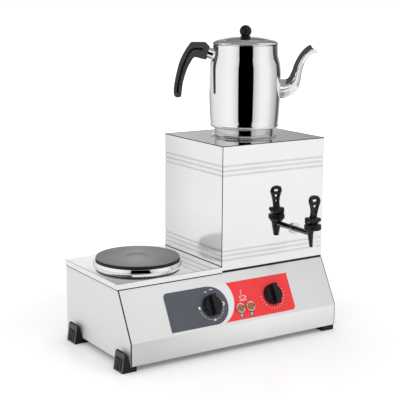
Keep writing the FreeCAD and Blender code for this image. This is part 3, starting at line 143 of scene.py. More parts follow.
def noise(where, scale, detail, roughness):
    return addNode(where.id_data, "TexNoise", {
        "Vector": where, "Scale": scale, "Detail": detail, "Roughness": roughness}).outputs["Fac"]


def spread(value, low, high, fromLow=0.3, fromHigh=0.7):
    return addNode(value.id_data, "MapRange", {
        "Value": value, "From Min": fromLow, "From Max": fromHigh, "To Min": low,
        "To Max": high}).outputs["Result"]


def blendColours(factor, first, second):
    # the numbers are the mix node's factor and its two colours
    return addNode(factor.id_data, "Mix", {0: factor, 6: first, 7: second},
                   data_type="RGBA").outputs[2]


def sums(kind, first, second=0.5):
    return addNode(first.id_data, "Math", {0: first, 1: second}, operation=kind).outputs[0]


def plus(first, second):
    return sums("ADD", first, second)


def minus(first, second):
    return sums("SUBTRACT", first, second)


def times(first, second):
    return sums("MULTIPLY", first, second)


def distance(across, deep):
    return sums("SQRT", plus(times(across, across), times(deep, deep)))


def rings(tree, centre, scale, distortion):
    # lathe rings round an upright axis
    where = objectSpace(tree, (1, 1, 1), (-centre[0], -centre[1], 0))
    return addNode(tree, "TexWave", {"Vector": where, "Scale": scale, "Distortion": distortion},
                   wave_type="RINGS", rings_direction="Z").outputs["Fac"]


def mottled(mask, colour, shade):
    setShader("Base Color", blendColours(spread(mask, 0, 1), colour, shade))


def roughened(mask, low, high):
    setShader("Roughness", spread(mask, low, high))


def bumped(height, strength, deep=0.0002):
    setShader("Normal", addNode(height.id_data, "Bump", {
        "Height": height, "Strength": strength, "Distance": deep}).outputs["Normal"])


# metals
def brushedMetal(name, colour, shade, rough, grain, strength=0.25, anisotropy=0.4, bare=1.0):
    # grain is how fine the brushing is along X, Y and Z: the small number is its direction;
    # bare is 1 for clean metal and less under a matt passive film
    finish, tree = newFinish(name, {"Metallic": bare, "Anisotropic": anisotropy})
    lines = noise(objectSpace(tree, grain), 1, 3, 0.6)
    cloud = noise(objectSpace(tree), 9, 5, 0.55)
    tone = plus(times(lines, 0.6), times(cloud, 0.4))
    mottled(tone, colour, shade)
    roughened(tone, rough * 0.94, rough * 1.08)
    bumped(lines, strength, 0.00006)
    return finish


def polishedMetal(name, colour, shade, rough, scratches=0.03):
    finish, tree = newFinish(name, {"Metallic": 1})
    smear = noise(objectSpace(tree), 14, 6, 0.6)
    fine = noise(objectSpace(tree, (40, 40, 900)), 1, 3, 0.7)
    mottled(smear, colour, shade)
    roughened(smear, rough * 0.7, rough * 1.6)
    bumped(fine, scratches, 0.00004)
    return finish


def galvanised(name, colour, shade):
    finish, tree = newFinish(name, {"Metallic": 1})
    flakes = addNode(tree, "TexVoronoi", {"Vector": objectSpace(tree), "Scale": 160}).outputs
    grey = addNode(tree, "SeparateColor", {"Color": flakes["Color"]}).outputs[0]
    setShader("Base Color", blendColours(grey, colour, shade))
    setShader("Roughness", spread(grey, 0.32, 0.5, 0, 1))
    bumped(flakes["Distance"], 0.15, 0.0001)
    return finish


def turnedMetal(name, colour, shade, rough, centre, ringPitch=0.0008):
    finish, tree = newFinish(name, {"Metallic": 1, "Anisotropic": 0.5})
    smear = noise(objectSpace(tree), 30, 4, 0.6)
    mottled(smear, colour, shade)
    roughened(smear, rough * 0.8, rough * 1.3)
    bumped(rings(tree, centre, 0.314 / ringPitch, 0.3), 0.1, 0.0001)
    return finish


def castIron(name, colour, shade, rough, strength):
    finish, tree = newFinish(name, {"Metallic": 0.35})
    grit = noise(objectSpace(tree), 900, 4, 0.7)
    mottled(noise(objectSpace(tree), 22, 5, 0.6), colour, shade)
    roughened(grit, rough * 0.85, rough * 1.2)
    bumped(grit, strength)
    return finish


# plastics and the rest
def mouldedPlastic(name, colour, shade, rough, grainScale=1400, strength=0.25, sheen=0.5):
    # sheen is how much of the surroundings it mirrors, 0.5 being a usual plastic
    finish, tree = newFinish(name, {"Specular IOR Level": sheen})
    grain = noise(objectSpace(tree), grainScale, 3, 0.6)
    rub = noise(objectSpace(tree), 35, 5, 0.6)
    mottled(rub, colour, shade)
    roughened(rub, rough * 0.85, rough * 1.2)
    bumped(grain, strength, 0.00012)
    return finish


def softSeal(name, colour, shade):
    finish, tree = newFinish(name, {"Subsurface Weight": 0.15,
                                    "Subsurface Radius": (0.002, 0.0015, 0.001)})
    dust = noise(objectSpace(tree), 240, 5, 0.65)
    mottled(dust, colour, shade)
    roughened(dust, 0.45, 0.7)
    bumped(dust, 0.1)
    return finish


def amberLens(name, colour, shade):
    finish, tree = newFinish(name, {"Transmission Weight": 0.55, "IOR": 1.49,
                                    "Roughness": 0.12, "Coat Weight": 0.6})
    prisms = addNode(tree, "TexVoronoi", {"Vector": objectSpace(tree), "Scale": 620})
    mottled(noise(objectSpace(tree), 260, 3, 0.6), colour, shade)
    bumped(prisms.outputs["Distance"], 0.35, 0.0004)
    return finish


recipes = {
    brushedMetal: {
        "casing": ("casing_satin_steel", 0.775, (0.76, 0.76, 0.763), 0.3, (5, 1500, 1500), 0.025,
                   0.0, 0.75),
        "casingSide": ("casing_side_satin_steel", (0.77, 0.77, 0.773), (0.755, 0.755, 0.76), 0.45,
                       (1500, 5, 1500), 0.025, 0.0, 0.3),
        "tankSide": ("tank_side_steel", 0.88, (0.87, 0.87, 0.873), 0.12, (1500, 5, 1500), 0.0, 0.0,
                     0.5),
        "zinc": ("zinc_plated_screw", (0.62, 0.62, 0.6), (0.5, 0.5, 0.48), 0.35, (400, 400, 400)),
    },
    polishedMetal: {
        "deck": ("deck_bright_steel", 0.86, (0.83, 0.83, 0.833), 0.07, 0.004),
        "hobCover": ("hob_cover_steel", 0.93, (0.91, 0.91, 0.912), 0.07, 0.004),
        "tank": ("tank_mirror_steel", 0.91, (0.885, 0.885, 0.89), 0.04, 0.01),
        "pot": ("teapot_mirror_steel", 0.91, (0.88, 0.88, 0.885), 0.025, 0.004),
        # the collar's steel is painted darker than the tank's, as painted shade and reflection
        # under the pot
        "collar": ("collar_steel_painted_dark", 0.62, (0.55, 0.55, 0.555), 0.05, 0.01),
        "chrome": ("chrome_plate", (0.9, 0.9, 0.91), (0.85, 0.86, 0.87), 0.04, 0.01),
        "tapChrome": ("tap_chrome", (0.74, 0.74, 0.75), (0.66, 0.66, 0.67), 0.06, 0.01),
        "tapCone": ("tap_cone_painted_reflection", 0.93, 0.9, 0.12, 0.01),
        "copper": ("drawn_copper", (0.82, 0.47, 0.33), (0.65, 0.34, 0.22), 0.25),
        "bezel": ("pale_gold_bezel", (0.93, 0.88, 0.76), (0.86, 0.8, 0.66), 0.12),
        # painted reflection: the tap shank's chrome is made dark, as the dark surroundings it
        # mirrors
        "shankPaintedDark": ("shank_chrome_painted_dark", (0.22, 0.22, 0.225), (0.17, 0.17, 0.175), 0.12),
    },
    galvanised: {
        "inner": ("galvanised_sheet", (0.62, 0.64, 0.66), (0.46, 0.48, 0.5)),
    },
    turnedMetal: {
        "brass": ("turned_brass", (0.78, 0.6, 0.28), (0.66, 0.48, 0.2), 0.28, (0.125, 0.0265)),
        "darkBrass": ("aged_brass", (0.13, 0.1, 0.06), (0.09, 0.07, 0.045), 0.4, (0.181, -0.154)),
    },
    castIron: {
        "sheath": ("heater_sheath", (0.32, 0.3, 0.27), (0.2, 0.18, 0.16), 0.42, 0.1),
        "hotSide": ("hotplate_dark_side", 0.008, 0.014, 0.5, 0.3),
    },
    mouldedPlastic: {
        # near-black beads at the joints: partly sealant, partly painted shade in the gaps
        "seamDark": ("joint_seal_and_painted_shade", 0.006, 0.01, 0.6, 1400, 0.1, 0.2),
        "blackPlastic": ("black_moulding", (0.005, 0.005, 0.0055), (0.009, 0.009, 0.0095), 0.3,
                         1400, 0.01, 0.25),
        "handlePlastic": ("handle_moulding", (0.058, 0.058, 0.06), (0.044, 0.044, 0.046), 0.3, 900,
                          0.0, 0.3),
        # painted shade for the floors of the handle's grooves
        "gripPaintedShade": ("grip_painted_shade", 0.003, 0.005, 0.5, 900, 0.0, 0.15),
        "footPlastic": ("foot_moulding", (0.006, 0.006, 0.0065), (0.01, 0.01, 0.0105), 0.45, 1100,
                        0.05, 0.25),
        # painted light on the feet's outward faces and ribs, painted shade in their sunk panels
        "footFace": ("foot_painted_light", (0.06, 0.061, 0.063), (0.075, 0.076, 0.078), 0.5, 1100,
                     0.05, 0.3),
        "footPaintedShade": ("foot_painted_shade", 0.006, 0.01, 0.6, 1100, 0.05, 0.2),
        "cream": ("cream_moulding", (0.72, 0.68, 0.58), (0.62, 0.57, 0.47), 0.45),
        "terminal": ("terminal_moulding", (0.75, 0.75, 0.72), (0.66, 0.66, 0.62), 0.4),
        "gland": ("gland_moulding", 0.05, 0.08, 0.45),
        "markInk": ("pale_mark_ink", (0.85, 0.86, 0.88), (0.8, 0.81, 0.83), 0.4, 1600, 0.05),
        "tagInk": ("dark_tag_ink", (0.05, 0.055, 0.065), (0.06, 0.065, 0.075), 0.4, 1600, 0.05),
    },
    softSeal: {
        "silicone": ("silicone_seal", (0.72, 0.68, 0.63), (0.62, 0.57, 0.5)),
    },
    amberLens: {
        "amber": ("amber_lens", (0.62, 0.26, 0.035), (0.5, 0.19, 0.02)),
    },
}
finishes = {key: make(*values) for make, group in recipes.items() for key, values in group.items()}


def paintedLightAlong(finish, shares, places, tones, below=None):
    # paints light and shade into a finish: it grows darker or lighter along a level direction,
    # given by its shares of X and Y, over all its height or up to a level
    tree = finish.node_tree
    colour = shaderInput(tree, "Base Color")
    parts = objectParts(tree)
    way = plus(times(parts["X"], shares[0]), times(parts["Y"], shares[1]))
    tone = spread(way, *tones, *places)
    if below:
        under = sums("LESS_THAN", parts["Z"], below)
        tone = plus(times(minus(tone, 1), under), 1)
    scaled = addNode(tree, "VectorMath", {0: colour.links[0].from_socket, "Scale": tone},
                     operation="SCALE")
    feed(colour, scaled.outputs[0])


def paintedShadeBands(finish, levels, edge, depth):
    # painted shade: a darker tone at some levels, softer towards the edges of each band
    tree = finish.node_tree
    colour = shaderInput(tree, "Base Color")
    high = objectParts(tree)["Z"]
    mask = 0
    for level in levels:
        away = sums("ABSOLUTE", minus(high, level * mm))
        mask = sums("MAXIMUM", spread(away, depth, 0, *edge), mask)
    feed(colour, blendColours(mask, colour.links[0].from_socket, 0.2))


# painted shade: a thin dark line along the hob cover's fold at 169.2 mm
paintedShadeBands(finishes["hobCover"], (169.2,), (0.0004, 0.0006), 0.9)
# painted light and shade on the casing: lighter at the left end and darker at the right
paintedLightAlong(finishes["casing"], (1, 0), (-0.26, 0.26), (1.06, 0.9))
# painted shade and light on the casing's low band below 58.7 mm: darker at the left, lighter from
# the middle on
paintedLightAlong(finishes["casing"], (1, 0), (-0.22, 0.05), (0.8, 1.17), 0.0587)
# painted reflection on the tap cone: almost black on its left half, bright on its right
paintedLightAlong(finishes["tapCone"], (0.838, -0.545), (0.2352, 0.2366), (0.05, 0.97))
# painted shade on the tank's sides: darker towards the back
paintedLightAlong(finishes["tankSide"], (0, 1), (0.14, 0.02), (0.84, 1.03))
print("finishes made")


# ways of shaping a piece
def onlySelected(piece):
    nothingSelected()
    piece.select_set(True)
    bpy.context.view_layer.objects.active = piece


def editAll(piece):
    onlySelected(piece)
    bpy.ops.object.mode_set(mode="EDIT")
    bpy.ops.mesh.select_all(action="SELECT")


def closeMesh(piece, gap=0.00002):
    editAll(piece)
    bpy.ops.mesh.remove_doubles(threshold=gap)
    bpy.ops.mesh.normals_make_consistent(inside=False)
    bpy.ops.object.mode_set(mode="OBJECT")


def smoothShade(piece, angle):
    onlySelected(piece)
    bpy.ops.object.shade_smooth_by_angle(angle=radians(angle))


def changed(piece, kind, **settings):
    modifier = piece.modifiers.new(kind.lower(), kind)
    for key, value in settings.items():
        setattr(modifier, key, value)
    onlySelected(piece)
    bpy.ops.object.modifier_apply(modifier=modifier.name)


def softenEdges(piece, width, segments=3, angle=40):
    changed(piece, "BEVEL", width=width * mm, segments=segments, limit_method="ANGLE",
            angle_limit=radians(angle), use_clamp_overlap=True)


def cutAway(piece, tool):
    changed(piece, "BOOLEAN", operation="DIFFERENCE", object=tool, solver="EXACT")
    bpy.data.objects.remove(tool)


def putAt(piece, matrix):
    # moves a piece and leaves its place in its mesh
    piece.matrix_world = matrix @ piece.matrix_world
    onlySelected(piece)
    bpy.ops.object.transform_apply()
    return piece


def moved(x=0, y=0, z=0):
    return Matrix.Translation((x * mm, y * mm, z * mm))


def upright(x, y, z, turn=0):
    return moved(x, y, z) @ turned(radians(turn), "Z")


def joined(pieces, name):
    onlySelected(pieces[0])
    for piece in pieces:
        piece.select_set(True)
    bpy.ops.object.join()
    return named(bpy.context.object, name)


def dress(piece, finish, body, slot, *nodes):
    # the faces of a piece with several finishes get the first until they are told another
    piece.data.materials.clear()
    for name in (finish,) if isinstance(finish, str) else finish:
        piece.data.materials.append(finishes[name])
    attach(piece, body)
    if nodes:
        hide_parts(*nodes)


def bow(start, end, bulge, count):
    # a round bow from start to end that stands bulge to the left of the straight way,
    # without its start
    dx, dy = end[0] - start[0], end[1] - start[1]
    chord = hypot(dx, dy)
    radius = (chord * chord / 4 + bulge * bulge) / (2 * abs(bulge))
    side = 1 if bulge > 0 else -1
    away = radius - abs(bulge)
    centre = ((start[0] + end[0]) / 2 + side * dy / chord * away,
              (start[1] + end[1]) / 2 - side * dx / chord * away)
    first = atan2(start[1] - centre[1], start[0] - centre[0])
    last = atan2(end[1] - centre[1], end[0] - centre[0])
    sweep = (last - first + pi) % (2 * pi) - pi
    return [(centre[0] + radius * cos(first + sweep * step / count),
             centre[1] + radius * sin(first + sweep * step / count))
            for step in range(1, count + 1)]


def bent(line, *bows):
    # lengthens the line by bows, each given by its end, its bulge and its steps
    for end, bulge, count in bows:
        line += bow(line[-1], end, bulge, count)


def flowing(points, count):
    # a smooth line through the points
    line = []
    ends = [points[0], *points, points[-1]]
    for four in zip(ends, ends[1:], ends[2:], ends[3:]):
        for step in range(count):
            part = step / count
            weights = (-0.5 * part + part ** 2 - 0.5 * part ** 3,
                       1 - 2.5 * part ** 2 + 1.5 * part ** 3,
                       0.5 * part + 2 * part ** 2 - 1.5 * part ** 3,
                       -0.5 * part ** 2 + 0.5 * part ** 3)
            line.append(tuple(sum(weight * point[axis] for weight, point in zip(weights, four))
                              for axis in (0, 1)))
    line.append(tuple(points[-1]))
    return line


def drawnLine(name, outline, y=0):
    # a point that is pulled along the outline of (x, z) points, left selected in edit mode
    piece = added(name, bpy.ops.mesh.primitive_plane_add, size=0.001)
    editAll(piece)
    bpy.ops.mesh.merge(type="CENTER")
    start = outline[0]
    bpy.ops.transform.translate(value=(start[0] * mm, y * mm, start[1] * mm))
    for before, after in zip(outline, outline[1:]):
        step = ((after[0] - before[0]) * mm, 0, (after[1] - before[1]) * mm)
        bpy.ops.mesh.extrude_vertices_move(TRANSFORM_OT_translate={"value": step})
    bpy.ops.mesh.select_all(action="SELECT")
    return piece


def spunPiece(name, outline, steps, smooth=35):
    # spins an outline of (radius, height) points round the upright axis
    piece = drawnLine(name, outline)
    bpy.ops.mesh.spin(steps=steps, angle=2 * pi, center=(0, 0, 0), axis=(0, 0, 1))
    closeMesh(piece)
    smoothShade(piece, smooth)
    return piece


def flatPlate(name, outline, thick):
    # fills an upright outline and pulls it to a plate
    plate = drawnLine(name, outline, -thick / 2)
    bpy.ops.mesh.edge_face_add()
    bpy.ops.mesh.extrude_region_move(TRANSFORM_OT_translate={"value": (0, thick * mm, 0)})
    closeMesh(plate, 0.000001)
    return plate


def roundedCopy(node, width):
    # a copy of a CAD solid with its triangles merged to faces and its sharp edges rounded;
    # large flat faces keep their own direction, so that they mirror without bending
    piece = bpy.data.objects.new(node + "_rounded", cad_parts[node].data.copy())
    piece.data.name = node + "_rounded"
    bpy.context.scene.collection.objects.link(piece)
    editAll(piece)
    bpy.ops.mesh.remove_doubles(threshold=0.000005)
    bpy.ops.mesh.customdata_custom_splitnormals_clear()
    bpy.ops.mesh.select_all(action="SELECT")
    bpy.ops.mesh.dissolve_limited(angle_limit=radians(0.5))
    bpy.ops.object.mode_set(mode="OBJECT")
    softenEdges(piece, width)
    smoothShade(piece, 40)
    changed(piece, "WEIGHTED_NORMAL", mode="FACE_AREA", weight=90, keep_sharp=True)
    return piece


def dressCopies(pieces):
    for node, (finish, body, slot, width) in pieces.items():
        dress(roundedCopy(node, width), finish, body, slot, node)


# casing, feet and deck: pressed sheet with its edges rounded
casing = {
    "left_side_panel": ("casingSide", "base", "casing_steel", 0.3),
    "right_side_panel": ("casingSide", "base", "casing_steel", 0.3),
    "front_panel": ("casing", "base", "casing_steel", 0.3),
    "rear_panel": ("casing", "base", "casing_steel", 0.25),
    "deck_plate": ("deck", "base", "casing_steel", 0.25),
    "hob_cover": ("hobCover", "base", "casing_steel", 0.5),
    "feet_right": ("footPlastic", "base", "foot_plastic", 0.9),
    "cable_gland": ("gland", "base", "gland_plastic", 0.5),
    "panel_screws": ("zinc", "base", "screw_steel", 0.6),
}
wingFoot = {
    "edge": 0.8,
    "faceSlant": -0.4,
    "panelSlant": -0.6,
    "panelArea": 2e-4,
    "rib": (1.1, 2.0, 20),
    "ribEdge": 0.35,
    "ribLift": 0.45,
    "ribs": ((0, -6), (0, 6), (-31, 0)),
}


def makeWingFoot(node):
    # painted light and shade: the outward faces are paler, as lit, except the sunk panel, which
    # stays dark as painted shade; three paler ribs stand in it
    foot = roundedCopy(node, wingFoot["edge"])
    outward = [face for face in foot.data.polygons
               if face.normal.x < wingFoot["panelSlant"] and face.area > wingFoot["panelArea"]]
    panel = min(outward, key=lambda face: face.center.dot(face.normal))
    middle, slant, sunk = Vector(panel.center), Vector(panel.normal), panel.index
    dress(foot, ("footPlastic", "footFace", "footPaintedShade"), "base", "foot_plastic", node)
    for face in foot.data.polygons:
        if face.index == sunk:
            face.material_index = 2
        elif face.normal.x < wingFoot["faceSlant"]:
            face.material_index = 1
    lean = atan2(slant.z, -slant.x)
    place = Matrix.Translation(middle + slant * wingFoot["ribLift"] * mm) @ turned(lean, "Y")
    ribs = []
    for turn, across in wingFoot["ribs"]:
        rib = added("rib", bpy.ops.mesh.primitive_cube_add, size=1)
        rib.scale = [side * mm for side in wingFoot["rib"]]
        bpy.ops.object.transform_apply()
        softenEdges(rib, wingFoot["ribEdge"], 2)
        putAt(rib, place @ moved(y=across) @ turned(radians(turn), "X"))
        smoothShade(rib, 40)
        ribs.append(rib)
    dress(joined(ribs, node + "_ribs"), "footFace", "base", "foot_plastic")


dressCopies(casing)
makeWingFoot("foot_front_left")
makeWingFoot("foot_rear_left")
print("casing made")


# hotplate: a cast disc with a turned top, in its bright spill rim
hotplate = {
    "centre": (-142, 37),
    "level": 169.9,
    "radius": 90,
    "height": 14.6,
    "underside": [(0, -6), (34, -6), (34, 3), (74, 3), (74, -6), (80, -6), (80, 0.8), (89.2, 0.8),
                  (90, 1.6)],
    "edgeRound": 1.6,
    "recessRadius": 25.5,
    "recessDepth": 1.9,
    "rimInside": 80.3,
    "rimRadius": 96,
    "rimTop": 93.4,
    "rimHeight": 7.5,
    "ringScale": 260,
    # the spot of a painted highlight, lighter there and darker further out, and how far it reaches,
    # in metres
    "paintedSheenSpot": (-0.155, 0.04),
    "paintedSheenReach": (0.012, 0.1),
}


def turnedTop(name, colour, shade, rough):
    # fine turning rings with a soft sheen and random stains, and a painted highlight:
    # lighter near a spot left of the centre, darker towards the rim
    finish, tree = newFinish(name, {"Metallic": 0.55, "Anisotropic": 0.55})
    centre = [place * mm for place in hotplate["centre"]]
    stain = noise(objectSpace(tree), 18, 5, 0.6)
    grit = noise(objectSpace(tree), 1100, 3, 0.6)
    paintedSheenSpot = objectSpace(tree, (1, 1, 0), (-hotplate["paintedSheenSpot"][0], -hotplate["paintedSheenSpot"][1], 0))
    away = addNode(tree, "VectorMath", {0: paintedSheenSpot}, operation="LENGTH").outputs["Value"]
    # painted highlight near the spot, darker further out, mixed with random stains
    paintedSheenAndStain = plus(spread(away, 0, 0.85, *hotplate["paintedSheenReach"]), spread(stain, -0.15, 0.15))
    setShader("Base Color", blendColours(paintedSheenAndStain, colour, shade))
    roughened(grit, rough * 0.9, rough * 1.15)
    lines = rings(tree, centre, hotplate["ringScale"], 0.4)
    bumped(plus(times(lines, 0.6), times(grit, 0.4)), 0.25, 0.00012)
    return finish


def makeHotplate():
    radius, high, soft = hotplate["radius"], hotplate["height"], hotplate["edgeRound"]
    recess, deep = hotplate["recessRadius"], hotplate["recessDepth"]
    outline = [*hotplate["underside"], (radius, high - soft)]
    bent(outline, ((radius - soft, high), -0.47, 6))
    outline += [(radius - 6, high + 0.02), (recess + 12, high)]
    outline += flowing([(recess + 1.2, high), (recess + 0.5, high - 0.15),
                        (recess - 0.5, high - deep * 0.85), (recess - 1.2, high - deep)], 5)
    outline += [(0, high - deep)]
    disc = spunPiece("hotplate_disc", outline, 160, 30)
    place = upright(*hotplate["centre"], hotplate["level"])
    dress(putAt(disc, place), ("hotTop", "hotSide"), "base", "hot_iron", "hotplate_casting")
    sideTop = (hotplate["level"] + high - soft * 0.8) * mm
    for face in disc.data.polygons:
        if face.center.z < sideTop and abs(face.normal.z) < 0.7 or face.normal.z < -0.2:
            face.material_index = 1

    # the rim is an upright band that leans in a little, so that it mirrors what stands round it
    inside, outside = hotplate["rimInside"], hotplate["rimRadius"]
    top, height = hotplate["rimTop"], hotplate["rimHeight"]
    line = [(inside, 0.02), (outside - 0.6, 0.02)]
    bent(line, ((outside - 0.1, 0.7), -0.15, 5), ((top, height - 0.7), -0.25, 12),
         ((top - 0.8, height), -0.25, 5))
    line += [(90.9, height), (90.5, height - 0.5), (outside - 1.3, 0.9), (inside, 0.85),
             (inside, 0.02)]
    rim = spunPiece("hotplate_spill_rim", line, 160, 30)
    dress(putAt(rim, place), "chrome", "base", "casing_steel", "hotplate_rim")


finishes["hotTop"] = turnedTop("hotplate_turned_top", 0.36, (0.17, 0.168, 0.166), 0.36)
makeHotplate()
print("hotplate made")


# tank, its lid and the steam collar
tank = {
    "centre": (125, 26.5),
    "lidTop": 426.3,
    "collarRadius": 65,
    "collarHeight": 20,
    "flangeRadius": 74,
    "flare": 6,
    "lipRadius": 58,
    "wall": 1,
    "beadCentres": (374.3, 192.3),
    "beadPitch": 9.9,
    "beadEdge": (0.0012, 0.0027),
    "beadShadeDepth": {"tank": 0.24, "tankSide": 0.3},
}


def makeTank():
    # painted shade in the tank's pressed beads, front and sides, three beads at each of two heights
    levels = [centre + tank["beadPitch"] * step for centre in tank["beadCentres"]
              for step in (-1, 0, 1)]
    for finish, depth in tank["beadShadeDepth"].items():
        paintedShadeBands(finishes[finish], levels, tank["beadEdge"], depth)
    shell = roundedCopy("tank_shell", 0.45)
    dress(shell, ("tank", "tankSide"), "base", "tank_steel", "tank_shell")
    for face in shell.data.polygons:
        if abs(face.normal.x) > 0.9:
            face.material_index = 1
    dress(roundedCopy("tank_lid", 0.35), "tank", "lid_unit", "tank_steel", "tank_lid")
    radius, height, lip = tank["collarRadius"], tank["collarHeight"], tank["lipRadius"]
    flange, flare, wall = tank["flangeRadius"], tank["flare"], tank["wall"]
    line = [(radius - wall, 0), (flange - 0.3, 0), (flange, 0.3), (flange, wall * 0.7),
            (flange - 0.4, wall)]
    bent(line, ((radius, flare), 1.5, 8))
    line += [(radius, height - 1.2)]
    bent(line, ((radius - 1.2, height), -0.35, 5))
    line += [(lip + 0.4, height), (lip, height - 0.4), (lip + 0.2, height - wall),
             (radius - 1.8, height - wall), (radius - wall, height - 1.8), (radius - wall, 0)]
    collar = spunPiece("steam_collar_spun", line, 144, 30)
    putAt(collar, upright(*tank["centre"], tank["lidTop"]))
    dress(collar, "collar", "lid_unit", "tank_steel", "steam_collar")


makeTank()
print("tank made")


# teapot
teapot = {
    "base": 446.6,
    "turn": -33,
    "height": 182,
    "wall": 1,
    "foot": [(0, 0.8), (58, 0.8), (62, 0), (70, 0)],
    "footBows": (((75.4, 3), -0.7, 5), ((75.0, 5.4), -0.7, 6), ((74.4, 7), 0.2, 4)),
    "floor": [(69.5, 3), (66, 2), (0, 2)],
    "outer": [(74.4, 7), (76, 26), (77.6, 58), (78.5, 92), (78.5, 114), (78.1, 128), (77, 138),
              (75, 146.6), (73, 154), (71.7, 161), (71.3, 168), (71.2, 180.2)],
    # the spout's places and radii, and what its end loses
    "spout": [(66, 84, 22), (77, 84, 21.6), (88, 85.5, 20.4), (98, 90, 18.4), (106.5, 99.5, 15),
              (112.6, 117.5, 11.4), (117.8, 136, 10.2), (126, 152.5, 9.9), (136.5, 165.2, 10.1),
              (146, 171.2, 10.5), (157.1, 173.6, 10.5)],
    "spoutRoundness": 0.5,
    "spoutLip": [(145.4, 175.4), (159.6, 164.4), (180, 160), (180, 205), (128, 205), (141.4, 183)],
    "spoutLipAcross": 60,
    "boreStretch": (1.001, 1, 1.001),
    "boreMiddle": (0.1, 0, 0.12),
    # the room inside the pot that the spout keeps out of: its heights, its way from the skin
    "room": (6.5, 180),
    "roomInset": 0.5,
    # the grip's outline in four flowing parts with their steps, and the line of its grooves
    "grip": (
        (5, [(-85, 147.4), (-95, 149), (-104, 151.6), (-109.6, 152.4), (-113.4, 150.8),
             (-118.2, 143.5), (-127.4, 125.4), (-135.4, 99.0), (-138.6, 77.0), (-139.6, 66.6)]),
        (4, [(-139.6, 66.6), (-145, 64.6), (-151.8, 64.9), (-156, 70.7)]),
        (5, [(-156, 70.7), (-156.3, 84.8), (-151.5, 113.2), (-143.5, 143.2), (-131.5, 167.2),
             (-121.4, 182)]),
        (1, [(-121.4, 182), (-119, 184.4), (-116, 185.2), (-89, 185.2), (-85.5, 183.6),
             (-77.9, 175.2)]),
    ),
    "gripMiddle": [(-93, 170), (-112, 170.5), (-122, 162), (-133, 140), (-142, 112), (-147, 88),
                   (-147.5, 74)],
    "gripAcross": 22,
    "gripEdge": 5,
    "gripGroove": 1.3,
    "gripGrooveHalf": 2.3,
}
potLid = {
    "lift": 0.3,
    "radius": 72.8,
    "step": 56,
    "under": [(2, 13.4), (12, 13.4), (55, 5.4), (63.3, 1.5), (63.3, -12), (64.3, -12),
              (64.3, 0.05)],
    "top": (12, 14.4),
    "ball": 13.2,
    "ballCentre": 26.9,
    "waist": 8.2,
    "knobFoot": [(2, 14.45), (11.6, 14.45), (11.8, 15), (11.4, 15.9)],
    "knobBore": [(0, 26.4), (2, 26.4), (2, 14.45)],
}
potPlace = upright(*tank["centre"], teapot["base"], teapot["turn"])


def potSkin(inset=0):
    return [(radius - inset, height) for radius, height in flowing(teapot["outer"], 5)]


def makePotBody():
    wall = teapot["wall"]
    line = [*teapot["foot"]]
    bent(line, *teapot["footBows"])
    line += potSkin()[1:]
    rim, top = teapot["outer"][-1]
    bent(line, ((rim - wall, top), -0.8, 6))
    line += potSkin(wall)[::-1][1:]
    line += teapot["floor"]
    pot = spunPiece("teapot_shell", line, 160, 40)
    dress(putAt(pot, potPlace), "pot", "teapot", "pot_steel", "teapot_body")


def tubeThrough(name, stations):
    # a curve in the pot's upright plane with a ring as its section, made a mesh; less
    # roundness than 1 flattens the ring's four sides
    path = added(name, bpy.ops.curve.primitive_bezier_curve_add)
    points = path.data.splines[0].bezier_points
    points.add(len(stations) - len(points))
    for point, (x, z, size) in zip(points, stations):
        point.co = (x * mm, 0, z * mm)
        point.radius = size
        point.handle_left_type = "AUTO"
        point.handle_right_type = "AUTO"
    path.data.splines[0].radius_interpolation = "CARDINAL"
    path.data.resolution_u = 16
    path.data.twist_mode = "Z_UP"
    section = added(name + "_section", bpy.ops.curve.primitive_bezier_circle_add, radius=1)
    section.data.dimensions = "2D"
    section.data.resolution_u = 10
    for point in section.data.splines[0].bezier_points:
        point.handle_left_type = "FREE"
        point.handle_right_type = "FREE"
        corner, before, after = (Vector(spot) for spot in (point.co, point.handle_left,
                                                           point.handle_right))
        roundness = teapot["spoutRoundness"]
        point.handle_left = ((before - corner) * roundness + corner) * mm
        point.handle_right = ((after - corner) * roundness + corner) * mm
        point.co = corner * mm
    path.data.bevel_mode = "OBJECT"
    path.data.bevel_object = section
    path.data.use_fill_caps = True
    onlySelected(path)
    bpy.ops.object.convert(target="MESH")
    tube = named(bpy.context.object, name)
    bpy.data.objects.remove(section)
    closeMesh(tube, 0.00001)
    smoothShade(tube, 50)
    return tube


def ribbon(points, half):
    # the outline of a narrow band along the points
    sides = ([], [])
    for before, point, after in zip([points[0], *points], points, [*points[1:], points[-1]]):
        dx, dz = after[0] - before[0], after[1] - before[1]
        length = hypot(dx, dz)
        for side, way in zip(sides, (1, -1)):
            side.append((point[0] - way * dz / length * half, point[1] + way * dx / length * half))
    return sides[0] + sides[1][::-1]


def makeSpout():
    # the tube loses what lies inside the pot and the upper half of its end, which leaves a
    # pouring beak; the bore is a little longer than the tube
    wall = teapot["wall"]
    spout = tubeThrough("teapot_spout_tube", teapot["spout"])
    bore = tubeThrough("spout_bore", [(x, z, size - wall) for x, z, size in teapot["spout"]])
    onlySelected(bore)
    bpy.ops.transform.resize(value=teapot["boreStretch"], center_override=teapot["boreMiddle"])
    bpy.ops.object.transform_apply()
    cutAway(spout, bore)
    low, high = teapot["room"]
    room = [(0, low), *potSkin(teapot["roomInset"]), (0, high)]
    cutAway(spout, spunPiece("pot_room", room, 96))
    cutAway(spout, flatPlate("lip_cut", teapot["spoutLip"], teapot["spoutLipAcross"]))
    closeMesh(spout, 0.00001)
    smoothShade(spout, 32)
    dress(putAt(spout, potPlace), "pot", "teapot", "pot_steel", "teapot_spout")


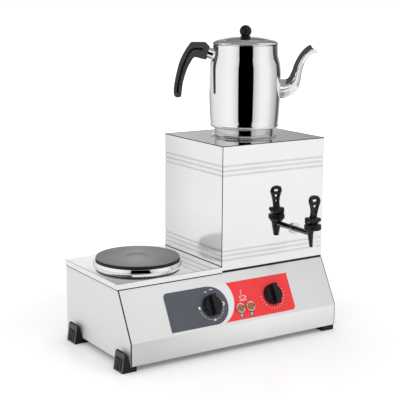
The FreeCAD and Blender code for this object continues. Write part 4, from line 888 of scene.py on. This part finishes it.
def makeHandle():
    outline = [teapot["grip"][0][1][0]]
    for count, points in teapot["grip"]:
        outline += flowing(points, count)[1:]
    grip = flatPlate("teapot_handle_grip", outline, teapot["gripAcross"])
    softenEdges(grip, teapot["gripEdge"], 6, 60)
    floor = teapot["gripAcross"] / 2 - teapot["gripGroove"]
    band = ribbon(flowing(teapot["gripMiddle"], 5), teapot["gripGrooveHalf"])
    for side in (-1, 1):
        groove = flatPlate("grip_groove", band, 4)
        cutAway(grip, putAt(groove, moved(y=side * (floor + 2))))
    smoothShade(grip, 40)
    dress(grip, ("handlePlastic", "gripPaintedShade"), "teapot", "black_plastic", "handle_grip")
    # painted shade on the floors of the grip's grooves
    for face in grip.data.polygons:
        if abs(face.normal.y) > 0.99 and abs(abs(face.center.y) - floor * mm) < 0.00005:
            face.material_index = 1
    putAt(grip, potPlace)
    dress(roundedCopy("handle_bracket", 0.5), "pot", "teapot", "pot_steel", "handle_bracket")


def makePotLid():
    radius, step, top = potLid["radius"], potLid["step"], potLid["top"]
    line = [*potLid["under"], (radius - 0.4, 0.05)]
    bent(line, ((radius - 0.3, 1), -0.45, 5))
    line += flowing([(radius - 0.3, 1), (radius - 2.4, 3.1), (radius - 6.8, 5.7),
                     (radius - 11.8, 7.3), (step + 1.6, 7.9)], 5)[1:]
    line += flowing([(step + 1.6, 7.9), (step + 0.6, 7.3), (step - 0.4, 7.1),
                     (step - 1.2, 8.3)], 4)[1:]
    bent(line, (top, -1.5, 14))
    line += [(2, top[1]), potLid["under"][0]]
    lid = spunPiece("teapot_lid_spun", line, 160, 40)
    level = teapot["base"] + teapot["height"] + potLid["lift"]
    lidPlace = upright(*tank["centre"], level, teapot["turn"])
    dress(putAt(lid, lidPlace), "pot", "pot_lid", "pot_steel", "teapot_lid")

    ball, centre = potLid["ball"], potLid["ballCentre"]
    knobLine = [*potLid["knobFoot"]]
    bent(knobLine, ((8.4, 17.6), 0.3, 5))
    waist = asin(potLid["waist"] / ball)
    for part in range(20):
        angle = waist + (pi - waist) * part / 20
        knobLine.append((ball * sin(angle), centre - ball * cos(angle)))
    knobLine += [(0, centre + ball), *potLid["knobBore"]]
    knob = spunPiece("teapot_lid_knob", knobLine, 72, 60)
    dress(putAt(knob, lidPlace), "blackPlastic", "pot_lid", "black_plastic", "lid_knob")


makePotBody()
makeSpout()
makeHandle()
makePotLid()
print("teapot made")


# tap: chrome rosette and cone, black bonnet and lever
tapPieces = {
    "tap_rosette": ("tapChrome", "base", "chrome_plate", 0.5),
    "tap_body": ("tapCone", "base", "chrome_plate", 0.4),
    "tap_bonnet": ("blackPlastic", "base", "black_plastic", 0.6),
    "tap_lever": ("blackPlastic", "lever", "black_plastic", 0.7),
}
dressCopies(tapPieces)
print("tap made")


# control panel: the slope it lies on, its print, knobs, marks and lamps
slope = {
    "bend": (-142.5, 58.7),
    "rise": (0.47232, 0.88143),
    "sheet": 0.5,
}
overlay = {
    # the dark field is a disc and all to its left; the red one starts outside a larger disc
    "darkDisc": (-56, 46.5, 41),
    "redDisc": (-52, 56.3, 53.9),
    "pale": ((0.72, 0.75, 0.79), (0.68, 0.71, 0.75)),
    "dark": ((0.085, 0.09, 0.108), (0.078, 0.083, 0.1)),
    "red": ((0.84, 0.045, 0.05), (0.8, 0.04, 0.045)),
}
knobs = {
    "hob_knob": ("blackPlastic", "hob_control", "black_plastic", 0.7),
    "thermostat_knob": ("blackPlastic", "thermostat_control", "black_plastic", 0.7),
}
dials = {
    "along": 46.5,
    "dot": (1.9, 1.9, 0.9),
    "dots": ((-56, 29.5, 188, 352, 17), (101, 29.5, 180, 378, 15)),
    "signs": ((-86, 46.2, 4.6, 5.2), (-55.7, 16.6, 5, 5), (-62, 77, 6, 1.5), (-48, 80.5, 8, 1.5)),
    "moon": (-27.5, 47),
    "moonRadius": 4.4,
    "biteRadius": 4.2,
    "biteMove": -3.1,
    "ink": 0.06,
    "cup": (24, 51.5),
    "cupLines": (((-7, 4), (-5, -3), (5, -3), (7, 4), (-7, 4)), ((-9, -5.6), (9, -5.6)),
                 ((7, 3), (10, 1), (5.6, -1.4)), ((-1, 7), (-2.6, 10.5), (0.4, 14), (-0.8, 18))),
    "cupLineWidth": 0.9,
    "cupLineRound": 0.44,
}
lamps = {
    "x": (11.5, 37.3),
    "along": 14.7,
    "tag": (9, 10.5, 1.2),
    "bar": (1.3, 7.5, 0.5),
    "barOffset": 1.7,
}


def onSlope(x, along, lift=slope["sheet"]):
    # local X to the right, local Y up the slope, local Z out of the panel
    up, out = slope["rise"]
    y = slope["bend"][0] + along * up - lift * out
    z = slope["bend"][1] + along * out + lift * up
    return Matrix(((1, 0, 0, x * mm), (0, up, -out, y * mm), (0, out, up, z * mm), (0, 0, 0, 1)))


def overlayPrint(name):
    # dark left field, pale band and red right field, printed on a satin film
    finish, tree = newFinish(name, {"Specular IOR Level": 0.25})
    parts = objectParts(tree)
    across = parts["X"]
    y, z = (times(minus(parts[axis], bend * mm), rise)
            for axis, bend, rise in zip("YZ", slope["bend"], slope["rise"]))
    along = plus(y, z)

    def against(kind, disc):
        # compares the way to the disc's centre with its radius
        dx = minus(across, disc[0] * mm)
        dy = minus(along, disc[1] * mm)
        return sums(kind, distance(dx, dy), disc[2] * mm)

    darkDisc, redDisc = overlay["darkDisc"], overlay["redDisc"]
    dark = sums("MAXIMUM", against("LESS_THAN", darkDisc),
                sums("LESS_THAN", across, darkDisc[0] * mm))
    red = times(against("GREATER_THAN", redDisc), sums("GREATER_THAN", across, redDisc[0] * mm))
    ink = spread(noise(objectSpace(tree), 60, 4, 0.5), 0, 1)
    paleInk, darkInk, redInk = (blendColours(ink, *overlay[key]) for key in ("pale", "dark", "red"))
    colour = blendColours(dark, blendColours(red, paleInk, redInk), darkInk)
    setShader("Base Color", colour)
    film = noise(objectSpace(tree), 1800, 2, 0.5)
    roughened(film, 0.32, 0.42)
    bumped(film, 0.08, 0.00005)
    return finish


def printedPad(name, width, height, radius):
    # a thin pad of ink with round corners, lying on the local XY plane
    pad = added(name, bpy.ops.mesh.primitive_plane_add, size=1)
    pad.scale = (width * mm, height * mm, 1)
    bpy.ops.object.transform_apply()
    editAll(pad)
    bpy.ops.mesh.bevel(offset=radius * mm, segments=5, affect="VERTICES")
    bpy.ops.mesh.select_all(action="SELECT")
    rise = (0, 0, dials["ink"] * mm)
    bpy.ops.mesh.extrude_region_move(TRANSFORM_OT_translate={"value": rise})
    closeMesh(pad, 0.000001)
    return pad


def printMarks(name, finish, marks):
    # pads of ink, each with its place on the panel, as one piece
    pads = [putAt(printedPad(name, *size), place) for place, size in marks]
    dress(joined(pads, name), finish, "base", "overlay_print")


def makeDialMarks():
    # dots round the turning range of both knobs, a half moon and marks at the left one
    marks = []
    for x, radius, first, last, count in dials["dots"]:
        for step in range(count):
            angle = radians(first + (last - first) * step / (count - 1))
            place = onSlope(x, dials["along"]) @ turned(angle, "Z") @ moved(radius)
            marks.append(putAt(printedPad("dot", *dials["dot"]), place))
    for x, along, wide, high in dials["signs"]:
        sign = printedPad("sign", wide, high, min(wide, high) * 0.45)
        marks.append(putAt(sign, onSlope(x, along)))
    full, bitten, ink = dials["moonRadius"], dials["biteRadius"], dials["ink"]
    moon = spunPiece("moon", [(0, 0), (full, 0), (full, ink), (0, ink)], 40)
    bite = spunPiece("bite", [(0, -1), (bitten, -1), (bitten, 1), (0, 1)], 40)
    cutAway(moon, putAt(bite, moved(dials["biteMove"])))
    marks.append(putAt(moon, onSlope(*dials["moon"])))
    dress(joined(marks, "dial_marks"), "markInk", "base", "overlay_print")


def makeCupSign():
    # the outline of a cup with steam over a level line
    place = onSlope(*dials["cup"])
    width = dials["cupLineWidth"]
    marks = []
    for points in dials["cupLines"]:
        for start, end in zip(points, points[1:]):
            dx, dy = end[0] - start[0], end[1] - start[1]
            middle = moved((start[0] + end[0]) / 2, (start[1] + end[1]) / 2)
            marks.append((place @ middle @ turned(atan2(dy, dx), "Z"),
                          (hypot(dx, dy) + width, width, dials["cupLineRound"])))
    printMarks("cup_sign", "markInk", marks)


def makeLamps():
    dress(roundedCopy("lamp_bezels", 0.5), "bezel", "base", "lens_bezel", "lamp_bezels")
    along, offset = lamps["along"], lamps["barOffset"]
    printMarks("lamp_tags", "tagInk", [(onSlope(x, along), lamps["tag"]) for x in lamps["x"]])
    printMarks("tag_bars", "markInk",
               [(onSlope(x + side, along, slope["sheet"] + 0.05), lamps["bar"])
                for x in lamps["x"] for side in (-offset, offset)])


finishes["overlay"] = overlayPrint("printed_overlay")
dressCopies(knobs)
makeDialMarks()
makeCupSign()
makeLamps()
print("controls made")


# joints between the sheets: thin dark beads that lie almost flush, by width and line; partly a
# sealing bead, partly painted shade standing in for the shadow in the gaps
seams = {
    "base": (
        "casing_steel",
        (2.8, (-259.1, -141.9, 12.8), (-259.1, -141.9, 58.7), (-259.1, -90.1, 155.8)),
        (5.2, (-10.2, -89.2, 158.5), (257.4, -89.2, 158.5)),
        (3.0, (-260.4, -90.6, 156.9), (-11, -90.6, 156.9)),
        (3.0, (-260.4, -90.6, 156.9), (-260.4, 141, 156.9)),
        (1.6, (-10.2, -89.7, 159), (-10.2, -89.7, 413.5)),
        (1.6, (-10.3, -89, 170.2), (-10.3, 141.4, 170.2)),
        (1.8, (259, -142, 12.8), (259, -142, 58.7), (259, -90.2, 155.8)),
    ),
    "lid_unit": (
        "tank_steel",
        (1.6, (-10, -89.5, 426), (259.2, -89.5, 426), (259.2, 141.7, 426)),
        (1.6, (-10, -89.5, 426), (-10, 141.7, 426), (259.2, 141.7, 426)),
        (1.6, (-10.2, -89.7, 414.5), (-10.2, -89.7, 426)),
    ),
}


def makeSeams():
    for body, (slot, *lines) in seams.items():
        beads = []
        for width, *points in lines:
            for start, end in zip(points, points[1:]):
                along = Vector(end) - Vector(start)
                bead = added("bead", bpy.ops.mesh.primitive_cylinder_add, vertices=8,
                             radius=width / 2 * mm, depth=along.length * mm)
                softenEdges(bead, 0.2, 2, 60)
                middle = moved(*((Vector(start) + Vector(end)) / 2))
                putAt(bead, middle @ along.to_track_quat("Z", "Y").to_matrix().to_4x4())
                smoothShade(bead, 50)
                beads.append(bead)
        dress(joined(beads, body + "_seams"), "seamDark", body, slot)


makeSeams()
print("seams made")


# CAD pieces that stay, with their finishes
carriedOver = {
    "inner": ("base_plate", "hotplate_base_pan"),
    "zinc": ("foot_screws", "hotplate_fixing", "hotplate_clamp", "valve_spring", "hob_shaft",
             "thermostat_shaft", "lever_pin", "lid_screw"),
    "sheath": ("hotplate_coils", "immersion_element"),
    "tank": ("tank_floor", "bulb_pocket"),
    "brass": ("element_nut", "element_plug", "tap_lock_nut", "hotplate_terminals"),
    "darkBrass": ("valve_stem",),
    "silicone": ("element_gasket", "tap_seal", "seat_cup"),
    "shankPaintedDark": ("tap_shank",),
    "copper": ("thermostat_probe",),
    "cream": ("dry_boil_cutout", "hob_switch", "thermostat_body"),
    "amber": ("lamp_lenses",),
    "blackPlastic": ("lamp_bodies",),
    "terminal": ("terminal_block",),
    "overlay": ("control_overlay",),
}
for finish, nodes in carriedOver.items():
    for node in nodes:
        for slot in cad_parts[node].material_slots:
            slot.material = finishes[finish]
print("carried pieces finished")


# studio: white floor, soft lamps, and a round screen that only reflections show
studio = {
    "floorSize": 60,
    "floorPale": 0.8,
    "floorLift": (0.1, 0.45),
    "floorLiftFrom": (0.42, 1.3),
    "floorMirror": 0.05,
    "floorRough": 0.08,
    "mirroredLift": 0.2,
    "mirroredPale": 0.7,
    "lamps": (
        ("key_lamp", (1.5, -2.0, 2.6), (0.0, 0.0, 0.25), 2.0, 14),
        ("fill_lamp", (-2.6, -1.2, 1.9), (0.0, 0.0, 0.3), 1.8, 8),
        ("top_lamp", (0.2, 0.6, 3.0), (0.0, 0.0, 0.3), 2.2, 14),
    ),
    "ceiling": 0.32,
    # a dark strip held beside the spout: its line in the pot's plane, its width and brightness
    "flag": ((90, 108), (94, 122), (99.5, 138), (107.5, 153), (118, 166), (131, 177), (146, 183)),
    "flagAcross": 28,
    "flagTowards": 4,
    "flagLight": 0.07,
}
screen = {
    "radius": 1.3,
    "height": 3.3,
    "lift": 0.002,
    "darkHeight": 1.3,
    "darkSoft": 0.02,
    "aboveLight": 0.95,
    "footLight": 0.95,
    "footHeight": 0.12,
    # a shade behind the urn: its rise and its fall in radians, its heights, share and brightness
    "backTurn": ((0.3, 0.5), (1.7, 2.0)),
    "backHeights": (0.85, 1.1),
    "backShade": 0.8,
    "backLight": 0.1,
    # darker and lighter fields: degrees from and to, heights from and to, brightness
    "fields": ((126, 181, 1.4, 3.4, 0.1), (-181, -150, 1.4, 3.4, 0.1), (50, 88, 0.41, 0.56, 0.95),
               (-48, 25, 1.15, 3.4, 0.7), (-142.4, -102, 0.0, 1.25, 0.0)),
    "softTurn": 3,
    "softHeight": 0.03,
    # brightness round the pot, by degrees from the +X direction
    "profile": (
        (-176, 1.0), (-169, 0.97), (-162, 0.92), (-156, 0.83), (-149, 0.7), (-146.4, 0.6),
        (-145.4, 0.0), (-99, 0.0), (-97.5, 0.6), (-93, 0.67), (-87, 0.8), (-80, 0.88), (-73, 0.96),
        (-60, 0.98), (-50, 0.97), (-37, 0.84), (-28, 0.69), (-18, 0.6), (-6, 0.42), (6, 0.1),
        (17, 0.1), (21, 0.5), (28, 0.6), (40, 0.34), (52, 0.42), (66, 0.55), (78, 0.3), (90, 0.5),
        (98, 0.64), (114, 0.8), (136, 0.88), (176, 1.0),
    ),
}


def bareTree(owner):
    owner.use_nodes = True
    owner.node_tree.nodes.clear()
    return owner.node_tree


def mixedShader(factor, first, second):
    return addNode(first.id_data, "MixShader",
                   {0: factor, 1: first.outputs[0], 2: second.outputs[0]})


def lightPathSeen(tree):
    path = addNode(tree, "LightPath").outputs
    seen = sums("MAXIMUM", path["Is Camera Ray"], path["Is Glossy Ray"])
    return sums("MAXIMUM", seen, path["Is Transmission Ray"])


def makeFloor():
    ground = added("studio_floor", bpy.ops.mesh.primitive_plane_add, size=studio["floorSize"])
    finish = bpy.data.materials.new("studio_floor")
    tree = bareTree(finish)
    mirrored = addNode(tree, "LightPath").outputs["Is Glossy Ray"]
    pale = studio["floorPale"]
    darker = spread(mirrored, pale, studio["mirroredPale"], 0, 1)
    plain = addNode(tree, "BsdfDiffuse", {"Color": pale})
    shaded = addNode(tree, "BsdfDiffuse", {"Color": darker})
    mirror = addNode(tree, "BsdfGlossy", {"Color": 1, "Roughness": studio["floorRough"]})
    parts = objectParts(tree)
    full = spread(distance(parts["X"], parts["Y"]), *studio["floorLift"], *studio["floorLiftFrom"])
    lower = spread(mirrored, 1, studio["mirroredLift"], 0, 1)
    lift = addNode(tree, "Emission", {"Color": 1, "Strength": times(full, lower)})
    polished = mixedShader(studio["floorMirror"], shaded, mirror)
    both = addNode(tree, "AddShader", {0: polished.outputs[0], 1: lift.outputs[0]})
    choice = mixedShader(lightPathSeen(tree), plain, both)
    addNode(tree, "OutputMaterial", {"Surface": choice.outputs[0]})
    finish.cycles.emission_sampling = "NONE"
    ground.data.materials.append(finish)


def makeSurround():
    world = bpy.data.worlds.new("studio_surround")
    bpy.context.scene.world = world
    tree = bareTree(world)
    world.cycles.sampling_method = "NONE"
    white = addNode(tree, "Background", {"Color": 1, "Strength": 1})
    addNode(tree, "OutputWorld", {"Surface": white.outputs[0]})


def makeLampsOfStudio():
    for name, place, aim, size, power in studio["lamps"]:
        lamp = added(name, bpy.ops.object.light_add, type="AREA", location=place)
        lamp.data.shape = "SQUARE"
        lamp.data.size = size
        lamp.data.energy = power
        lamp.visible_glossy = False
        towards = Vector(aim) - Vector(place)
        lamp.rotation_euler = towards.to_track_quat("-Z", "Y").to_euler()


def glossyOnly(name):
    # a finish that shows in reflections alone, and its light
    finish = bpy.data.materials.new(name)
    tree = bareTree(finish)
    glow = addNode(tree, "Emission")
    mirrored = addNode(tree, "LightPath").outputs["Is Glossy Ray"]
    choice = mixedShader(mirrored, addNode(tree, "BsdfTransparent"), glow)
    addNode(tree, "OutputMaterial", {"Surface": choice.outputs[0]})
    finish.cycles.emission_sampling = "NONE"
    return finish, tree, glow


def stageCard(card, light, place):
    # light is a brightness, or a function that makes it in the card's own node tree
    putAt(card, place)
    finish, tree, glow = glossyOnly(card.name)
    feed(glow.inputs["Color"], light(tree) if callable(light) else light)
    card.data.materials.append(finish)


def between(value, low, high, soft):
    return times(spread(value, 0, 1, low - soft, low), spread(value, 1, 0, high, high + soft))


def screenLight(tree):
    parts = objectParts(tree, [-place * mm for place in (*tank["centre"], 0)])
    high, turn = parts["Z"], sums("ARCTAN2", parts["Y"], parts["X"])
    steps = addNode(tree, "ValToRGB", {"Fac": spread(turn, 0, 1, -pi, pi)})
    marks = steps.color_ramp.elements
    first, *others, last = screen["profile"]
    for mark, (degrees, light) in zip(marks, (first, last)):
        mark.position = degrees / 360 + 0.5
        mark.color = (light, light, light, 1)
    for degrees, light in others:
        marks.new(degrees / 360 + 0.5).color = (light, light, light, 1)
    light = blendColours(spread(high, 0, 1, 0, screen["footHeight"]),
                         screen["footLight"], steps.outputs["Color"])
    dark, soft = screen["darkHeight"], screen["darkSoft"]
    light = blendColours(spread(high, 0, 1, dark - soft, dark + soft), light, screen["aboveLight"])
    rise, fall = screen["backTurn"]
    behind = times(spread(turn, 0, 1, *rise), spread(turn, 1, 0, *fall))
    above = spread(high, 0, screen["backShade"], *screen["backHeights"])
    light = blendColours(times(behind, above), light, screen["backLight"])
    for start, end, low, top, value in screen["fields"]:
        sides = between(turn, *(radians(angle) for angle in (start, end, screen["softTurn"])))
        ends = between(high, low, top, screen["softHeight"])
        light = blendColours(times(sides, ends), light, value)
    return light


def makeScreens():
    radius, height = screen["radius"], screen["height"]
    centre = upright(*tank["centre"], 0)
    wall = added("reflection_screen", bpy.ops.mesh.primitive_cylinder_add, vertices=128,
                 radius=radius, depth=height, end_fill_type="NOTHING")
    stageCard(wall, screenLight, centre @ Matrix.Translation((0, 0, height / 2 + screen["lift"])))
    strip = flatPlate("spout_flag", ribbon(flowing(studio["flag"], 4), 0.3), studio["flagAcross"])
    stageCard(strip, studio["flagLight"], potPlace @ moved(y=-studio["flagTowards"]))
    ceiling = added("reflection_ceiling", bpy.ops.mesh.primitive_circle_add, vertices=96,
                    radius=radius, fill_type="NGON")
    stageCard(ceiling, studio["ceiling"], centre @ Matrix.Translation((0, 0, height)))


makeFloor()
makeSurround()
makeLampsOfStudio()
makeScreens()
print("studio set")
